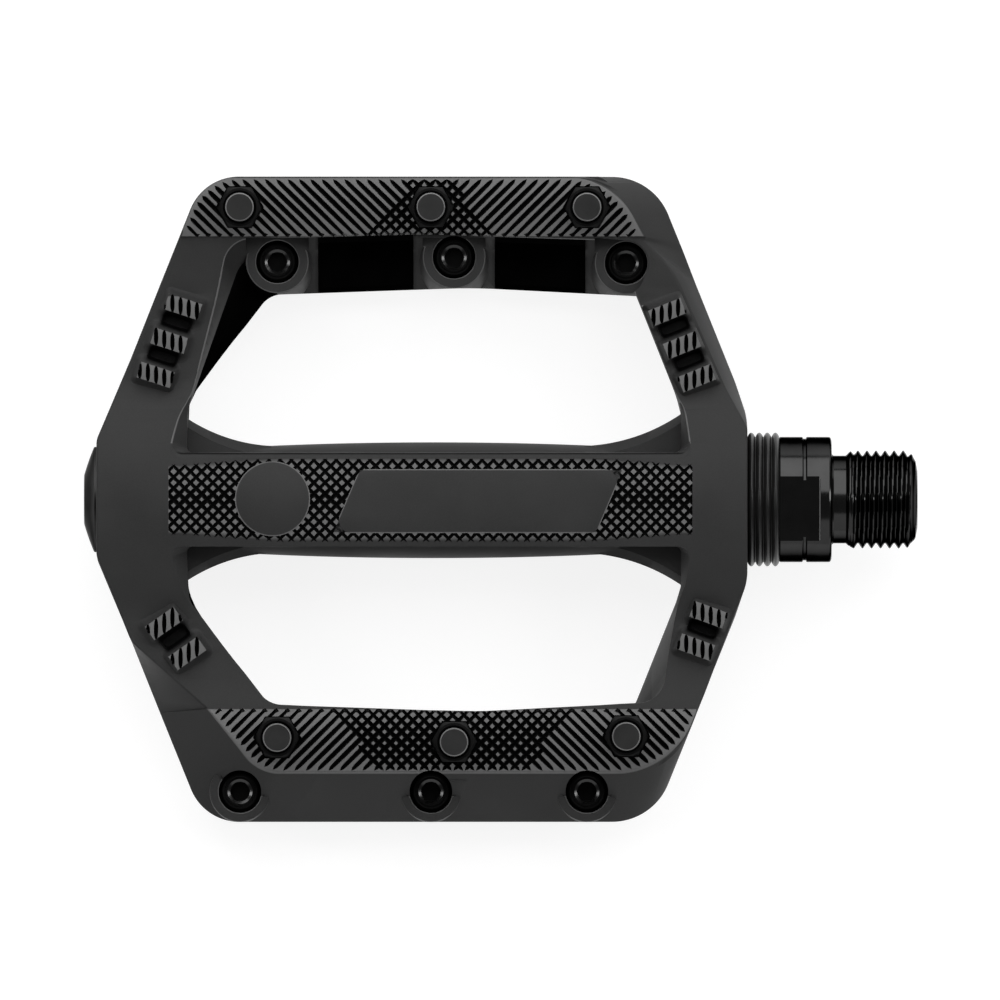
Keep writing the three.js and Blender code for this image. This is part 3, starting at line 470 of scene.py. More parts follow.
def window_shell():
    return loft([
        window_ring("wide", CUT_HEIGHT, True),
        window_ring("wide", FLARE_TOP, True),
        window_ring("wide", WINDOW_WALL_TOP, False),
        *[window_wall(height) for height in DEEP_EDGES],
        window_ring("narrow", -WINDOW_WALL_TOP, False),
        window_ring("narrow", -FLARE_TOP, True),
        window_ring("narrow", -CUT_HEIGHT, True),
    ])


def window_edge():
    """Where the window's wall meets the upper face, and how large each point's round is."""
    rings = [window_ring("narrow", -WINDOW_WALL_TOP, False), window_ring("wide", WINDOW_WALL_TOP, False),
             window_ring("wide", FLARE_TOP, True)]

    def on_wall(i, height):
        low, high = (rings[0][i], rings[1][i]) if height < WINDOW_WALL_TOP else (rings[1][i], rings[2][i])
        share = (height - low[2]) / (high[2] - low[2])
        return tuple(a + (b - a) * share for a, b in zip(low, high))

    def level(i, fall):
        height = WINDOW_WALL_TOP
        for _ in range(12):
            height = face_height(on_wall(i, height)[1]) - fall
        return on_wall(i, height)

    edge = [level(i, 0) for i in range(len(rings[0]))]
    sizes = [float(np.interp(abs(p[1]), [6.7, 7.6], [BEAM_ROUND, EDGE_ROUND])) for p in edge]
    return edge, sizes, level


def window_round_shell():
    """Takes the sharp edge off a window's upper border."""
    edge, sizes, level = window_edge()
    rings = []
    for inward, fall in rounding(1):
        wall = [level(i, fall * size) for i, size in enumerate(sizes)]
        rings.append(inset(wall, [-inward * size for size in sizes]))
    low = [(x, y, z - 0.05) for x, y, z in inset(rings[0], [0.05] * len(rings[0]))]
    top = [(x, y, CUT_HEIGHT) for x, y, z in inset(rings[-1], [-0.02] * len(rings[0]))]
    return loft([low, *rings, top])


def barrel_shell():
    start, end = length_at(WINDOW_ENDS[0]) - OVERRUN, length_at(WINDOW_ENDS[1]) + OVERRUN
    profile = [(start, 0)]
    for i in range(25):
        share = i / 24
        swell = 4 * share * (1 - share)
        profile.append((start + (end - start) * share, BEAM_HALF + 0.12 + (BARREL_RADIUS - BEAM_HALF - 0.08) * swell ** 0.8))
    return revolve(profile + [(end, 0)], 96)


def gusset_shell(end_share):
    reach, control, arm, direction = GUSSETS[end_share]
    root = length_at(end_share)

    def ring(bevel, height):
        a = Vector((root, arm * HALF_WIDTH - bevel))
        b = Vector((root + direction * control * PLATFORM_LENGTH, GUSSET_CONTROL * HALF_WIDTH - bevel))
        c = Vector((root + direction * (reach * PLATFORM_LENGTH - bevel), GUSSET_FOOT * HALF_WIDTH - bevel))
        edge = [a * (1 - t) ** 2 + b * (2 * t * (1 - t)) + c * t ** 2 for t in np.linspace(0, 1, 17)]
        back = root - direction * GUSSET_ROOT
        outline = [Vector((back, a.y)), *edge, Vector((c.x, 0)), Vector((back, 0))]
        return at_height(outline, height)

    return loft([
        ring(GUSSET_BEVEL, -GUSSET_HALF),
        ring(0, -GUSSET_EDGE_HALF),
        ring(0, GUSSET_EDGE_HALF),
        ring(GUSSET_BEVEL, GUSSET_HALF),
    ])


def pocket_shell(start, end):
    ceiling = PAD_EDGE_HEIGHT - PLATE
    slope = RAIL_SLANT / (PAD_EDGE_HEIGHT + KNEE_HEIGHT)
    low_outer = HALF_WIDTH - slope * (KNEE_HEIGHT + ceiling)
    mouth = HALF_WIDTH - RAIL_SLANT - SET_BACK_PAD_WIDTH - PAD_RISE / 2
    section = [
        (mouth, -ceiling),
        (low_outer - RAIL_WALL, -ceiling),
        (HALF_WIDTH - RAIL_WALL, KNEE_HEIGHT),
        (HALF_WIDTH - RAIL_WALL, ceiling),
        (mouth, ceiling),
    ]
    return along_axle(section, start, end)


def post_shell(x, y, profile, sides=48):
    """An upright turned form from (height, radius) points."""
    return moved(upright(revolve(profile, sides)), x, y)


# Every pin: x, y and which way its tip points
PINS = [
    *[(length_at(s), RIM_PIN_Y, 1) for s in RIM_PINS],
    *[(length_at(x), -y * HALF_WIDTH, 1) for x, y in INNER_PINS],
    *[(length_at(s), -RIM_PIN_Y, -1) for s in RIM_PINS],
    *[(length_at(x), y * HALF_WIDTH, -1) for x, y in INNER_PINS],
]
UP_PINS = [(x, y) for x, y, up in PINS if up > 0]


def boss_object():
    plate = PAD_EDGE_HEIGHT - PLATE / 2
    knee = loft([rim_ring("knee", "knee", CUT_HEIGHT), rim_ring("knee", "knee", -CUT_HEIGHT)])
    narrow = loft([window_ring("narrow", CUT_HEIGHT, False), window_ring("narrow", -CUT_HEIGHT, False)])
    rims = object_of("bosses", *[
        post_shell(length_at(s), RIM_PIN_Y, [(-RIM_BOSS_TOP, 0), (-RIM_BOSS_TOP, RIM_BOSS_RADIUS),
                                             (plate, RIM_BOSS_FOOT), (plate, 0)]) for s in RIM_PINS])
    combine(rims, object_of("knee", knee), "INTERSECT")
    inners = object_of("bosses", *[
        post_shell(length_at(x), y * HALF_WIDTH, [
            (-plate, 0), (-plate, INNER_BOSS_FOOT), (INNER_BOSS_TOP - EDGE_ROUND, INNER_BOSS_RADIUS),
            (INNER_BOSS_TOP, INNER_BOSS_RADIUS - EDGE_ROUND), (INNER_BOSS_TOP, 0)], 96)
        for x, y in INNER_PINS])
    cut(inners, narrow)
    joined(rims, inners)
    shell = ([tuple(v.co) for v in rims.data.vertices], [tuple(p.vertices) for p in rims.data.polygons])
    drop(rims)
    return object_of("bosses", *both_faces(shell))


def shelf_shell(x, y, in_corner):
    """Clears the wall over an inner boss, up to the pad's inner edge. In the window's corner the arm
    comes close to the counterbore."""
    radius, edge = INNER_BOSS_RADIUS + GAP, HALF_WIDTH - RIM_PAD_WIDTH - 0.15
    close = COUNTERBORE + 0.15
    outline = []
    for i in range(73):
        angle = math.pi * (1 + (1.5 if in_corner else 1) * i / 72)
        reach = float(np.interp(angle, [1.55 * math.pi, 1.8 * math.pi], [radius, close])) if in_corner else radius
        outline.append((x + reach * math.cos(angle), y + reach * math.sin(angle)))
    if not in_corner:
        outline.append((x + radius, edge))
    outline.append((x - radius, edge))
    return loft([[(px, py, INNER_BOSS_TOP) for px, py in outline], [(px, py, CUT_HEIGHT) for px, py in outline]])


# ---- traction blocks ----
def block_frames():
    """Each group's blocks as (centre, direction along the block, direction across)."""
    groups = []
    for first, step, count, tilt in BLOCK_GROUPS:
        start = Vector((length_at(first[0]), first[1] * HALF_WIDTH))
        move = Vector((step[0] * PLATFORM_LENGTH, step[1] * HALF_WIDTH))
        angle = math.radians(tilt)
        along, across = Vector((math.cos(angle), math.sin(angle))), move.normalized()
        groups.append([(start + move * i, along, across) for i in range(count)])
    return groups


# How far a mound reaches past its blocks, and at what height
MOUND_RINGS = [(reach, ARM_HEIGHT + height) for reach, height in (
    (1.6, -0.3), (1.35, 0.02), (1.12, 0.1), (0.9, 0.24), (0.68, 0.48), (0.47, 0.82), (0.29, 1.2), (0.15, 1.55),
    (0.06, 1.8))]


def mound_shell(block):
    """The soft rise that a block stands on."""
    first, along, _ = block
    last, across = first, Vector((along.y, -along.x))
    rings = []
    for grow, height in MOUND_RINGS:
        half_long, half_wide = BLOCK_LENGTH / 2 + 0.7 * grow, BLOCK_WIDTH / 2 + grow
        corners = [
            first + along * -half_long - across * half_wide,
            first + along * half_long - across * half_wide,
            last + along * half_long + across * half_wide,
            last + along * -half_long + across * half_wide,
        ]
        outline = rounded_outline([(c.x, c.y, 0.15 + 0.8 * grow, 3) for c in corners])
        rings.append([(p.x, p.y, height) for p in outline])
    return rings


def equal_loft(rings):
    """A loft of rings that may differ in their number of points, each sampled anew."""
    count = 96
    sampled = []
    for ring in rings:
        places = [Vector(p) for p in ring]
        places.append(places[0])
        lengths = [0.0]
        for one, two in zip(places, places[1:]):
            lengths.append(lengths[-1] + (two - one).length)
        marks = [lengths[-1] * i / count for i in range(count)]
        sampled.append([tuple(np.interp(m, lengths, [p[k] for p in places]) for k in range(3)) for m in marks])
    return loft(sampled)


def scoop_size(one, two):
    """Middle, half length and half width of the trough between two blocks. It hugs the upper one."""
    (a, along, across), b = one, two[0]
    half_gap = ((b - a).length - BLOCK_WIDTH) / 2
    return (a + b) / 2 - across * 0.2, BLOCK_LENGTH / 2 - 0.05, half_gap - 0.2


def scoop_shell(one, two):
    """The soft hollow between two neighbouring blocks."""
    along, across = one[1:]
    middle, half_long, half_wide = scoop_size(one, two)
    depth = 3.3
    rings = []
    for k in range(7):
        angle = math.pi / 2 * k / 6
        scale, drop_by = max(math.cos(angle), 0.12), math.sin(angle)
        ring = []
        for i in range(40):
            turn = 2 * math.pi * i / 40
            c, s = math.cos(turn), math.sin(turn)
            u = math.copysign(abs(c) ** 0.4, c) * half_long * (0.7 + 0.3 * scale)
            v = math.copysign(abs(s) ** 0.5, s) * half_wide * (0.4 + 0.6 * scale)
            p = middle + along * u + across * v
            ring.append((p.x, p.y, BLOCK_TOP + 0.4 - depth * drop_by))
        rings.append(ring)
    return loft(rings[::-1])


def block_shell(centre, along, across):
    """A block with drafted sides and an arched top, so that its grooves fade at both edges."""
    half_wide = BLOCK_WIDTH / 2
    down = Vector((along.y, -along.x))
    section = [(-half_wide - 0.35, ARM_HEIGHT - 0.9)]
    for i in range(9):
        v = -1 + 2 * i / 8
        section.append((v * half_wide, BLOCK_TOP - 0.1 * v * v))
    section.append((half_wide + 0.35, ARM_HEIGHT - 0.9))
    rings = []
    for end in (-1, 1):
        ring = []
        for v, z in section:
            half_long = BLOCK_LENGTH / 2 + (0.35 if z < ARM_HEIGHT else 0)
            p = centre + along * (end * half_long) + down * v
            ring.append((p.x, p.y, z))
        rings.append(ring)
    return loft(rings)


# ---- grooves ----
GROOVE_PITCH = 1.59
HATCH_PITCH = 1.573
HATCH_DEPTH, HATCH_MIDDLE = 0.42, 0.16
HATCH_NARROW, HATCH_WIDENING = 5.0, 1.0
BLOCK_GROOVE_PITCH = 1.145
BLOCK_GROOVE_PHASES = [-46.05, 22.58, -46.05, 22.58]
BLOCK_GROOVE_HALF = 0.32
BLOCK_GROOVE_ANGLE = 20


def wedge(stations, half_angle, top):
    """A V-shaped cutter through (x, y, bottom) stations, open upward to the height top."""
    spread = math.tan(half_angle)
    first, last = Vector(stations[0][:2]), Vector(stations[-1][:2])
    side = (last - first).normalized()
    side = Vector((-side.y, side.x))
    rings = []
    for x, y, bottom in stations:
        half = (top - bottom) * spread
        rings.append([
            (x, y, bottom),
            (x + side.x * half, y + side.y * half, top),
            (x - side.x * half, y - side.y * half, top),
        ])
    return loft(rings)


def clip_line(point, direction, polygon):
    """Where a line runs inside a convex or mildly hollow polygon: sorted distances along it."""
    hits = []
    for a, b in zip(polygon, polygon[1:] + polygon[:1]):
        edge = b - a
        cross = direction.x * edge.y - direction.y * edge.x
        if abs(cross) < 1e-9:
            continue
        to = a - point
        t = (to.x * edge.y - to.y * edge.x) / cross
        u = (to.x * direction.y - to.y * direction.x) / cross
        if 0 <= u < 1:
            hits.append(t)
    return sorted(hits)


def pad_zone(back, margin=0.35):
    """The grooved part of a pad on the upper face: the rim's outline set in by a margin, cut off
    at the pad's inner edge."""
    corners = rim_corners("rim", "set_back")
    outline = rounded_outline(corners, KNEE_RUNS)
    count = len(outline)
    inset = []
    for i, p in enumerate(outline):
        tangent = (outline[(i + 1) % count] - outline[i - 1]).normalized()
        inset.append(p + Vector((tangent.y, -tangent.x)) * margin)
    centre = Vector((-11, 0))
    if (inset[0] - centre).length > (outline[0] - centre).length:
        inset = [2 * p - q for p, q in zip(outline, inset)]
    sign = 1 if back else -1
    inner = HALF_WIDTH - RIM_PAD_WIDTH if back else HALF_WIDTH - RAIL_SLANT - SET_BACK_PAD_WIDTH
    part = [p for p in inset if sign * p.y > inner]
    xs = [p.x for p in part]
    start = max(range(len(part)), key=lambda i: (part[i] - part[i - 1]).length)
    part = part[start:] + part[:start]
    low = [Vector((part[-1].x, sign * inner)), Vector((part[0].x, sign * inner))]
    return part + low, sign * inner, (min(xs), max(xs))


def pad_grooves(back, lean):
    """The V-grooves of one lean on one pad. lean +1 rises to the right."""
    zone, inner, (low_x, high_x) = pad_zone(back)
    sign = 1 if back else -1
    width = RIM_PAD_WIDTH if back else SET_BACK_PAD_WIDTH
    outer = abs(inner) + width
    direction = Vector((1, lean)).normalized()
    shells = []
    for k in range(-70, 70):
        foot = Vector((k * GROOVE_PITCH + 0.4, inner))
        hits = clip_line(foot, direction, zone)
        if len(hits) < 2:
            continue
        start, end = hits[0], hits[-1]
        a, b = foot + direction * start, foot + direction * end
        limit = GROOVE_LIMITS[back][lean]
        lengths = clip_to_limit(a, b, limit)
        if lengths is None:
            continue
        t0, t1, open0, open1 = lengths
        p0, p1 = a.lerp(b, t0), a.lerp(b, t1)
        total = (p1 - p0).length
        if total < 0.8:
            continue
        stations = []
        steps = max(8, round(total / 0.5))
        for i in range(steps + 1):
            s = total * i / steps
            p = p0.lerp(p1, i / steps)
            reach = abs(p.y)
            share = (reach - abs(inner)) / width
            depth = 0.5 + 0.4 * (1 - ((share - 0.55) / 0.55) ** 2)
            fade0 = 1 if (abs(p0.y - inner) < 0.05) else max(0, min(1, s / 0.7)) ** 0.45
            fade1 = 1 if (abs(p1.y - inner) < 0.05) else max(0, min(1, (total - s) / 0.7)) ** 0.45
            depth *= fade0 * fade1
            stations.append((p.x, p.y, face_height(p.y if reach < outer else sign * outer) - depth + 0.03))
        first, last = Vector(stations[0][:2]), Vector(stations[-1][:2])
        reach_on = (last - first).normalized() * 0.05
        if abs(first.y - inner) < 0.05:
            stations.insert(0, (first.x - reach_on.x, first.y - reach_on.y, stations[0][2]))
        if abs(last.y - inner) < 0.05:
            stations.append((last.x + reach_on.x, last.y + reach_on.y, stations[-1][2]))
        shells.append(wedge(stations, math.radians(22.5), 9.6))
    return shells


def clip_to_limit(low, high, limit):
    """Keeps the part of a groove on the allowed side of a slanting border, as shares of its length."""
    (x0, y0), (x1, y1), keep = limit
    edge = Vector((x1 - x0, y1 - y0))

    def side(p):
        return keep * (edge.x * (p.y - y0) - edge.y * (p.x - x0))

    a, b = side(low), side(high)
    if a < 0 and b < 0:
        return None
    t0, t1 = 0.0, 1.0
    if a < 0:
        t0 = a / (a - b)
    if b < 0:
        t1 = a / (a - b)
    return t0, t1, a < 0, b < 0


# Borders of the two leans on each pad: two points of the border, and the side that is grooved
GROOVE_LIMITS = {
    True: {
        -1: ((-7.0, 44.7), (-0.5, 37.0), -1),
        1: ((-12.6, 44.7), (-19.0, 37.0), 1),
    },
    False: {
        1: ((10.4, -29.8), (3.4, -38.0), -1),
        -1: ((-23.8, -29.8), (-17.1, -38.0), 1),
    },
}


def hatch_half(x):
    """Half the width of the crosshatch, which widens away from the beam's ends."""
    share = (x - length_at(WINDOW_ENDS[0])) / (length_at(WINDOW_ENDS[1]) - length_at(WINDOW_ENDS[0]))
    return HATCH_NARROW + HATCH_WIDENING * min(1, 1.6 * max(0.0, 4 * share * (1 - share)))


def hatch_grooves(lean):
    """The diagonal grooves of one lean on the beam's crown. They run out in points at its borders."""
    shells = []
    for k in range(-40, 30):
        x0 = k * HATCH_PITCH - 0.25
        stations = []
        for i in range(29):
            y = (i - 14) / 2
            x = x0 + lean * y
            depth = HATCH_DEPTH + HATCH_MIDDLE * math.exp(-(y / 1.3) ** 2)
            depth *= max(-1, min(1, (hatch_half(x) - abs(y)) / 0.6))
            stations.append((x, y, face_height(y) - depth))
        shells.append(wedge(stations, math.radians(31), 10.9))
    return shells


HATCH_START, HATCH_END = -46.6, 26.9


def hatch_cutter(lean):
    cutter = object_of("hatch", *both_faces(*hatch_grooves(lean)))
    box = [(HATCH_START, -7.5, 11), (HATCH_END, -7.5, 11), (HATCH_END, 7.5, 11), (HATCH_START, 7.5, 11)]
    slab = loft([[(x, y, 8.6) for x, y, z in box], box])
    return combine(cutter, object_of("box", *both_faces(slab)), "INTERSECT")


def block_grooves():
    """Slits across the blocks, widest in the middle, that run out just past a block's edges."""
    shells = []
    spread = math.tan(math.radians(BLOCK_GROOVE_ANGLE))
    for group, phase in zip(block_frames(), BLOCK_GROOVE_PHASES):
        for centre, along, across in group:
            extent = BLOCK_LENGTH / 2 * abs(along.x) + 0.4
            low = math.ceil((centre.x - extent - phase) / BLOCK_GROOVE_PITCH)
            high = math.floor((centre.x + extent - phase) / BLOCK_GROOVE_PITCH)
            half = BLOCK_WIDTH / 2 * 1.16 / abs(along.x)
            for k in range(low, high + 1):
                x = phase + k * BLOCK_GROOVE_PITCH
                y = centre.y + along.y * (x - centre.x) / along.x
                stations = []
                for i in range(15):
                    v = -1 + 2 * i / 14
                    wide = BLOCK_GROOVE_HALF * max(0.0, 1 - abs(v) ** 3) ** 0.6
                    stations.append((x, y + v * half, BLOCK_TOP + 0.02 - wide / spread))
                shells.append(wedge(stations, math.radians(BLOCK_GROOVE_ANGLE), BLOCK_TOP + 0.6))
    return shells


# ---- plain raised panels where the crosshatch is interrupted ----
DISC_CENTRE = (-32.0, 0.1)
DISC_RADIUS = 5.25
BAR_CORNERS = [(-23.6, -4.7), (13.4, -4.7), (17.2, 4.25), (-19.8, 4.25)]


def panel_object():
    disc = [(DISC_CENTRE[0] + DISC_RADIUS * math.cos(a), DISC_CENTRE[1] + DISC_RADIUS * math.sin(a))
            for a in np.linspace(0, 2 * math.pi, 97)[:-1]]
    bar = [tuple(p) for p in rounded_outline([(x, y, 1.8, 3) for x, y in BAR_CORNERS])]
    shells = [loft([[(x, y, 8.4) for x, y in outline], [(x, y, 11) for x, y in outline]])
              for outline in (disc, bar)]
    panels = object_of("panels", *shells)
    combine(panels, object_of("slab", face_slab(0.04)), "INTERSECT")
    edge = panels.modifiers.new("edge", "BEVEL")
    edge.width = 0.1
    edge.segments = 2
    edge.limit_method = "ANGLE"
    edge.angle_limit = math.radians(50)
    bake(panels)
    shell = ([tuple(v.co) for v in panels.data.vertices], [tuple(p.vertices) for p in panels.data.polygons])
    drop(panels)
    return object_of("panels", *both_faces(shell))


# ---- the platform ----
def axle_bore():
    bush_end = INBOARD - 1.5 - 8 - 2 * GAP
    seal_end = INBOARD - 1.5 - GAP
    return revolve([
        (OUTBOARD - OVERRUN, 0),
        (OUTBOARD - OVERRUN, 7.1),
        (SHOULDER, 7.1),
        (SHOULDER, 5.6),
        (bush_end, 5.6),
        (bush_end, 7.1),
        (seal_end, 7.1),
        (seal_end, 7.7),
        (INBOARD + OVERRUN, 7.7),
        (INBOARD + OVERRUN, 0),
    ], 96)


def platform_body():
    groups = block_frames()
    mounds = [equal_loft(mound_shell(block)) for group in groups for block in group]
    scoops = [scoop_shell(one, two) for group in groups for one, two in zip(group, group[1:])]
    body = object_of("platform_body", face_slab())
    for mound in mounds:
        combine(body, object_of("mound", *both_faces(mound)), "UNION")
    cut(body, *both_faces(*scoops))
    combine(body, object_of("rim", rim_shell()), "INTERSECT")
    cut(body, *both_faces(window_shell()))
    cut(body, *both_faces(window_round_shell()))
    pockets = []
    for (one, _), (two, _) in zip(INNER_PINS, INNER_PINS[1:]):
        pockets.append(pocket_shell(length_at(one) + INNER_BOSS_FOOT, length_at(two) - INNER_BOSS_FOOT))
    cut(body, *both_faces(*pockets))
    combine(body, boss_object(), "UNION")
    cut(body, *both_faces(*[shelf_shell(length_at(x), y * HALF_WIDTH, x > 0.7) for x, y in INNER_PINS]))
    combine(body, object_of("barrel", moved(barrel_shell(), y=-0.1)), "UNION")
    for end in GUSSETS:
        combine(body, object_of("gusset", *both_faces(gusset_shell(end))), "UNION")

    blocks = [block_shell(*block) for group in groups for block in group]
    combine(body, object_of("blocks", *both_faces(*blocks)), "UNION")
    cut(body, *both_faces(*block_grooves()))

    for lean in (1, -1):
        grooves = pad_grooves(True, lean) + pad_grooves(False, lean)
        cut(body, *both_faces(*grooves))
        combine(body, hatch_cutter(lean), "DIFFERENCE")
    combine(body, panel_object(), "UNION")

    bores = [post_shell(x, y, [(-CUT_HEIGHT, 0), (-CUT_HEIGHT, COUNTERBORE), (HEAD_SEAT, COUNTERBORE),
                               (HEAD_SEAT, PIN_RADIUS + 0.15), (NUT_LOW + 0.5, PIN_RADIUS + 0.15),
                               (NUT_LOW + 0.5, 0)], 64) for x, y in UP_PINS]
    cut(body, *both_faces(*bores))
    mouths = []
    for x, y in UP_PINS:
        face = -(RIM_BOSS_TOP if y > 0 else INNER_BOSS_TOP)
        mouths.append(post_shell(x, y, [(face - 0.5, 0), (face - 0.5, COUNTERBORE + 0.62),
                                        (face + 0.14, COUNTERBORE - 0.02), (face + 0.14, 0)], 64))
    cut(body, *both_faces(*mouths))
    cut(body, *both_faces(*[hex_prism(x, y, NUT_LOW - GAP, CUT_HEIGHT, NUT_ACROSS + 0.3) for x, y in UP_PINS]))
    cut(body, axle_bore())
    # Splits the faces at the inner bosses' sides, where the pockets' painted shade ends
    work = bmesh.new()
    work.from_mesh(body.data)
    for share, _ in INNER_PINS:
        for reach in (-BOSS_SIDE, BOSS_SIDE):
            if (share, reach) == (INNER_PINS[0][0], -BOSS_SIDE):
                continue
            bmesh.ops.bisect_plane(work, geom=[*work.verts, *work.edges, *work.faces], dist=1e-4,
                                   plane_co=(length_at(share) + reach, 0, 0), plane_no=(1, 0, 0))
    work.to_mesh(body.data)
    work.free()
    mark_faces(body, groups)
    return shade(body)


def mark_faces(body, groups):
    """Gives the narrow edges a painted highlight in the second material, and the slits in the blocks, the deep
    pockets and the window walls low down and under the pads painted shade in the third."""
    count = len(body.data.polygons)
    centres, normals = np.empty(count * 3), np.empty(count * 3)
    body.data.polygons.foreach_get("center", centres)
    body.data.polygons.foreach_get("normal", normals)
    centres, normals = centres.reshape(-1, 3), normals.reshape(-1, 3)
    side = np.where(centres[:, 2] < 0, -1.0, 1.0)
    chosen = np.zeros(count, bool)
    tilted = (np.abs(normals[:, 2]) > 0.2) & (np.abs(normals[:, 2]) < 0.985)
    # The window's upper border and the rings round the counterbores and inner bosses take the painted highlight
    edge, sizes, _ = window_edge()
    path = []
    for i, size in enumerate(sizes):
        if max(size, sizes[i - 1]) < EDGE_ROUND * 1.5:
            path.extend(Vector(edge[i - 1]).lerp(Vector(edge[i]), k / 12) for k in range(12))
    path = np.array(path)
    near = np.nonzero(tilted & (np.abs(centres[:, 1]) > 8) & (np.abs(centres[:, 2]) > 4.5))[0]
    for start in range(0, len(near), 2000):
        part = near[start:start + 2000]
        places = centres[part] * np.stack([np.ones(len(part)), side[part], side[part]], 1)
        gap = np.linalg.norm(places[:, None, :2] - path[None, :, :2], axis=2)
        nearest = gap.argmin(1)
        level = places[:, 2] - path[nearest, 2]
        chosen[part] |= (gap.min(1) < 0.3) & (level < 0.02) & (level > -0.2)
    for x, y, up in PINS:
        away = np.hypot(centres[:, 0] - x, centres[:, 1] - y)
        height = -up * centres[:, 2]
        top = RIM_BOSS_TOP if abs(y) > 38 else INNER_BOSS_TOP
        band = (height > top - 0.2) & (height < top + 0.02) & tilted
        chosen |= band & (away < COUNTERBORE + 0.2)
        if top == INNER_BOSS_TOP:
            chosen |= band & (away > INNER_BOSS_RADIUS - 0.25) & (away < INNER_BOSS_RADIUS + 0.1)
    index = chosen.astype(np.int32)
    # Slits in the blocks are painted shade
    for group in groups:
        for centre, along, _ in group:
            dx, dy = centres[:, 0] - centre.x, centres[:, 1] * side - centre.y
            u, v = dx * along.x + dy * along.y, dx * along.y - dy * along.x
            on_block = (np.abs(u) < BLOCK_LENGTH / 2 - 0.01) & (np.abs(v) < BLOCK_WIDTH / 2 - 0.01)
            index[on_block & (centres[:, 2] * side > ARM_HEIGHT) & (np.abs(normals[:, 2]) < 0.6)] = 2
    # Pockets and window walls below the deep edges and under the pads are painted shade too
    x = centres[:, 0]
    back = np.sign(centres[:, 1])
    away, height = np.abs(centres[:, 1]), centres[:, 2] * back
    under_pad = (away > UNDER_PAD[0]) & (x > UNDER_PAD[1]) & (height < 6.9)
    deep = (height > -6.2) & ((height < DEEP_EDGES[1] + 0.05) | under_pad) & (away > 9.5) & (away < 42.8)
    deep &= (x - (away - 14) * 0.393 > -43.7) & (x < 20.6) & (normals[:, 1] * back < 0.2)
    deep &= normals[:, 2] * back > -0.05
    for place, (share, across) in enumerate(INNER_PINS):
        gap = np.hypot(x - length_at(share), away - across * HALF_WIDTH)
        beside = np.abs(x - length_at(share)) > BOSS_SIDE
        deep &= beside | ((place == 0) & (x < length_at(share)) & (gap > INNER_BOSS_RADIUS + 0.05))
    index[deep & (index == 0)] = 2
    for _ in range(3):
        body.data.materials.append(None)
    body.data.polygons.foreach_set("material_index", index)


# ---- turned pieces ----
THREAD_PITCH = 1.27


def helix(pitch, depth, start, end, fade, hand=-1):
    """A wave for revolve: a V thread between two places on the axle, fading out at both."""
    def wave(x, angle):
        if x < start or x > end:
            return 0.0
        phase = (x / pitch - hand * angle / (2 * math.pi)) % 1
        ridge = 1 - abs(2 * phase - 1)
        ridge = min(1, max(0, (ridge - 0.1) / 0.78))
        strength = min(1, (x - start) / fade, (end - x) / fade)
        return -depth * (1 - ridge) * max(0, strength)
    return wave


def dense(profile, start, end, step):
    """Splits the run of a profile between two places into short steps."""
    made = []
    for (x0, r0), (x1, r1) in zip(profile, profile[1:]):
        made.append((x0, r0))
        if x0 >= start - 1e-6 and x1 <= end + 1e-6 and x1 - x0 > step:
            count = math.ceil((x1 - x0) / step)
            made.extend((x0 + (x1 - x0) * i / count, r0 + (r1 - r0) * i / count) for i in range(1, count))
    return made + [profile[-1]]


def spindle_piece():
    thread_start = COLLAR_END + 2.4
    bush_end = INBOARD - 9.5
    race_end = SHOULDER - 5 - GAP
    stub = race_end - 0.6 - 2.5 - 2 * GAP - 0.3
    groove = COLLAR_START + 3.15
    profile = [
        (stub, 0), (stub, 2.75), (stub + 0.25, 3), (race_end + 0.25, 3), (race_end + 0.25, 3.5),
        (SHOULDER, 3.5), (SHOULDER, 4.3), (SHOULDER + 1, 4.3), (SHOULDER + 1, 4), (bush_end, 5.1),
        (bush_end + 1, 6), (COLLAR_START, 6), (COLLAR_START, 8.7), (COLLAR_START + 0.1, 8.8),
        (groove, 8.8), (groove + 0.1, 8.72), (groove + 0.16, 8.55), (groove + 0.54, 8.55),
        (groove + 0.6, 8.72), (groove + 0.7, 8.8),
        (COLLAR_END - 0.35, 8.8), (COLLAR_END - 0.18, 8.72), (COLLAR_END - 0.04, 8.45), (COLLAR_END, 8.1),
        (COLLAR_END, 6.55), (COLLAR_END + 0.1, 6.3), (COLLAR_END + 0.3, 6.16), (thread_start - 0.4, 6.16),
        (thread_start + 0.3, 6.86), (END_X - 1.55, 6.88), (END_X - 0.75, 6.35),
        (END_X - 0.25, 5.4), (END_X, 4.1), (END_X, 0),
    ]
    profile = dense(profile, thread_start - 0.5, END_X, 0.085)
    wave = helix(THREAD_PITCH, 0.72, thread_start - 0.1, END_X - 0.25, 1.1)
    made = object_of("spindle_shaft", revolve(profile, 128, wave))
    flat_end = COLLAR_END - 1.6
    box = [(COLLAR_START - 0.2, -9.5), (flat_end, -9.5), (flat_end, 9.5), (COLLAR_START - 0.2, 9.5)]
    foot = [(min(x, flat_end - 0.16), y) for x, y in box]
    flat = loft([[(x, y, 7.5) for x, y in foot], [(x, y, 7.62) for x, y in box], [(x, y, 10) for x, y in box]])
    flat = turned_about_axle(flat, FLAT_TURN)
    cut(made, *both_faces(flat))
    chamfer = made.modifiers.new("edge", "BEVEL")
    chamfer.width = 0.06
    chamfer.segments = 1
    chamfer.limit_method = "ANGLE"
    chamfer.angle_limit = math.radians(60)
    cut(made, axle_hex(END_X - 7, END_X + 1, 6))
    bake(made)
    made.data.materials.append(None)
    made.data.materials.append(None)
    # The sloped end wall of the flat gets the pale second material, a painted highlight along that edge
    for face in made.data.polygons:
        x, y, z = face.center
        if flat_end - 0.17 < x < flat_end and abs(face.normal.x) > 0.2 and math.hypot(y, z) < 8.75:
            face.material_index = 1
    return shade(made, 14)


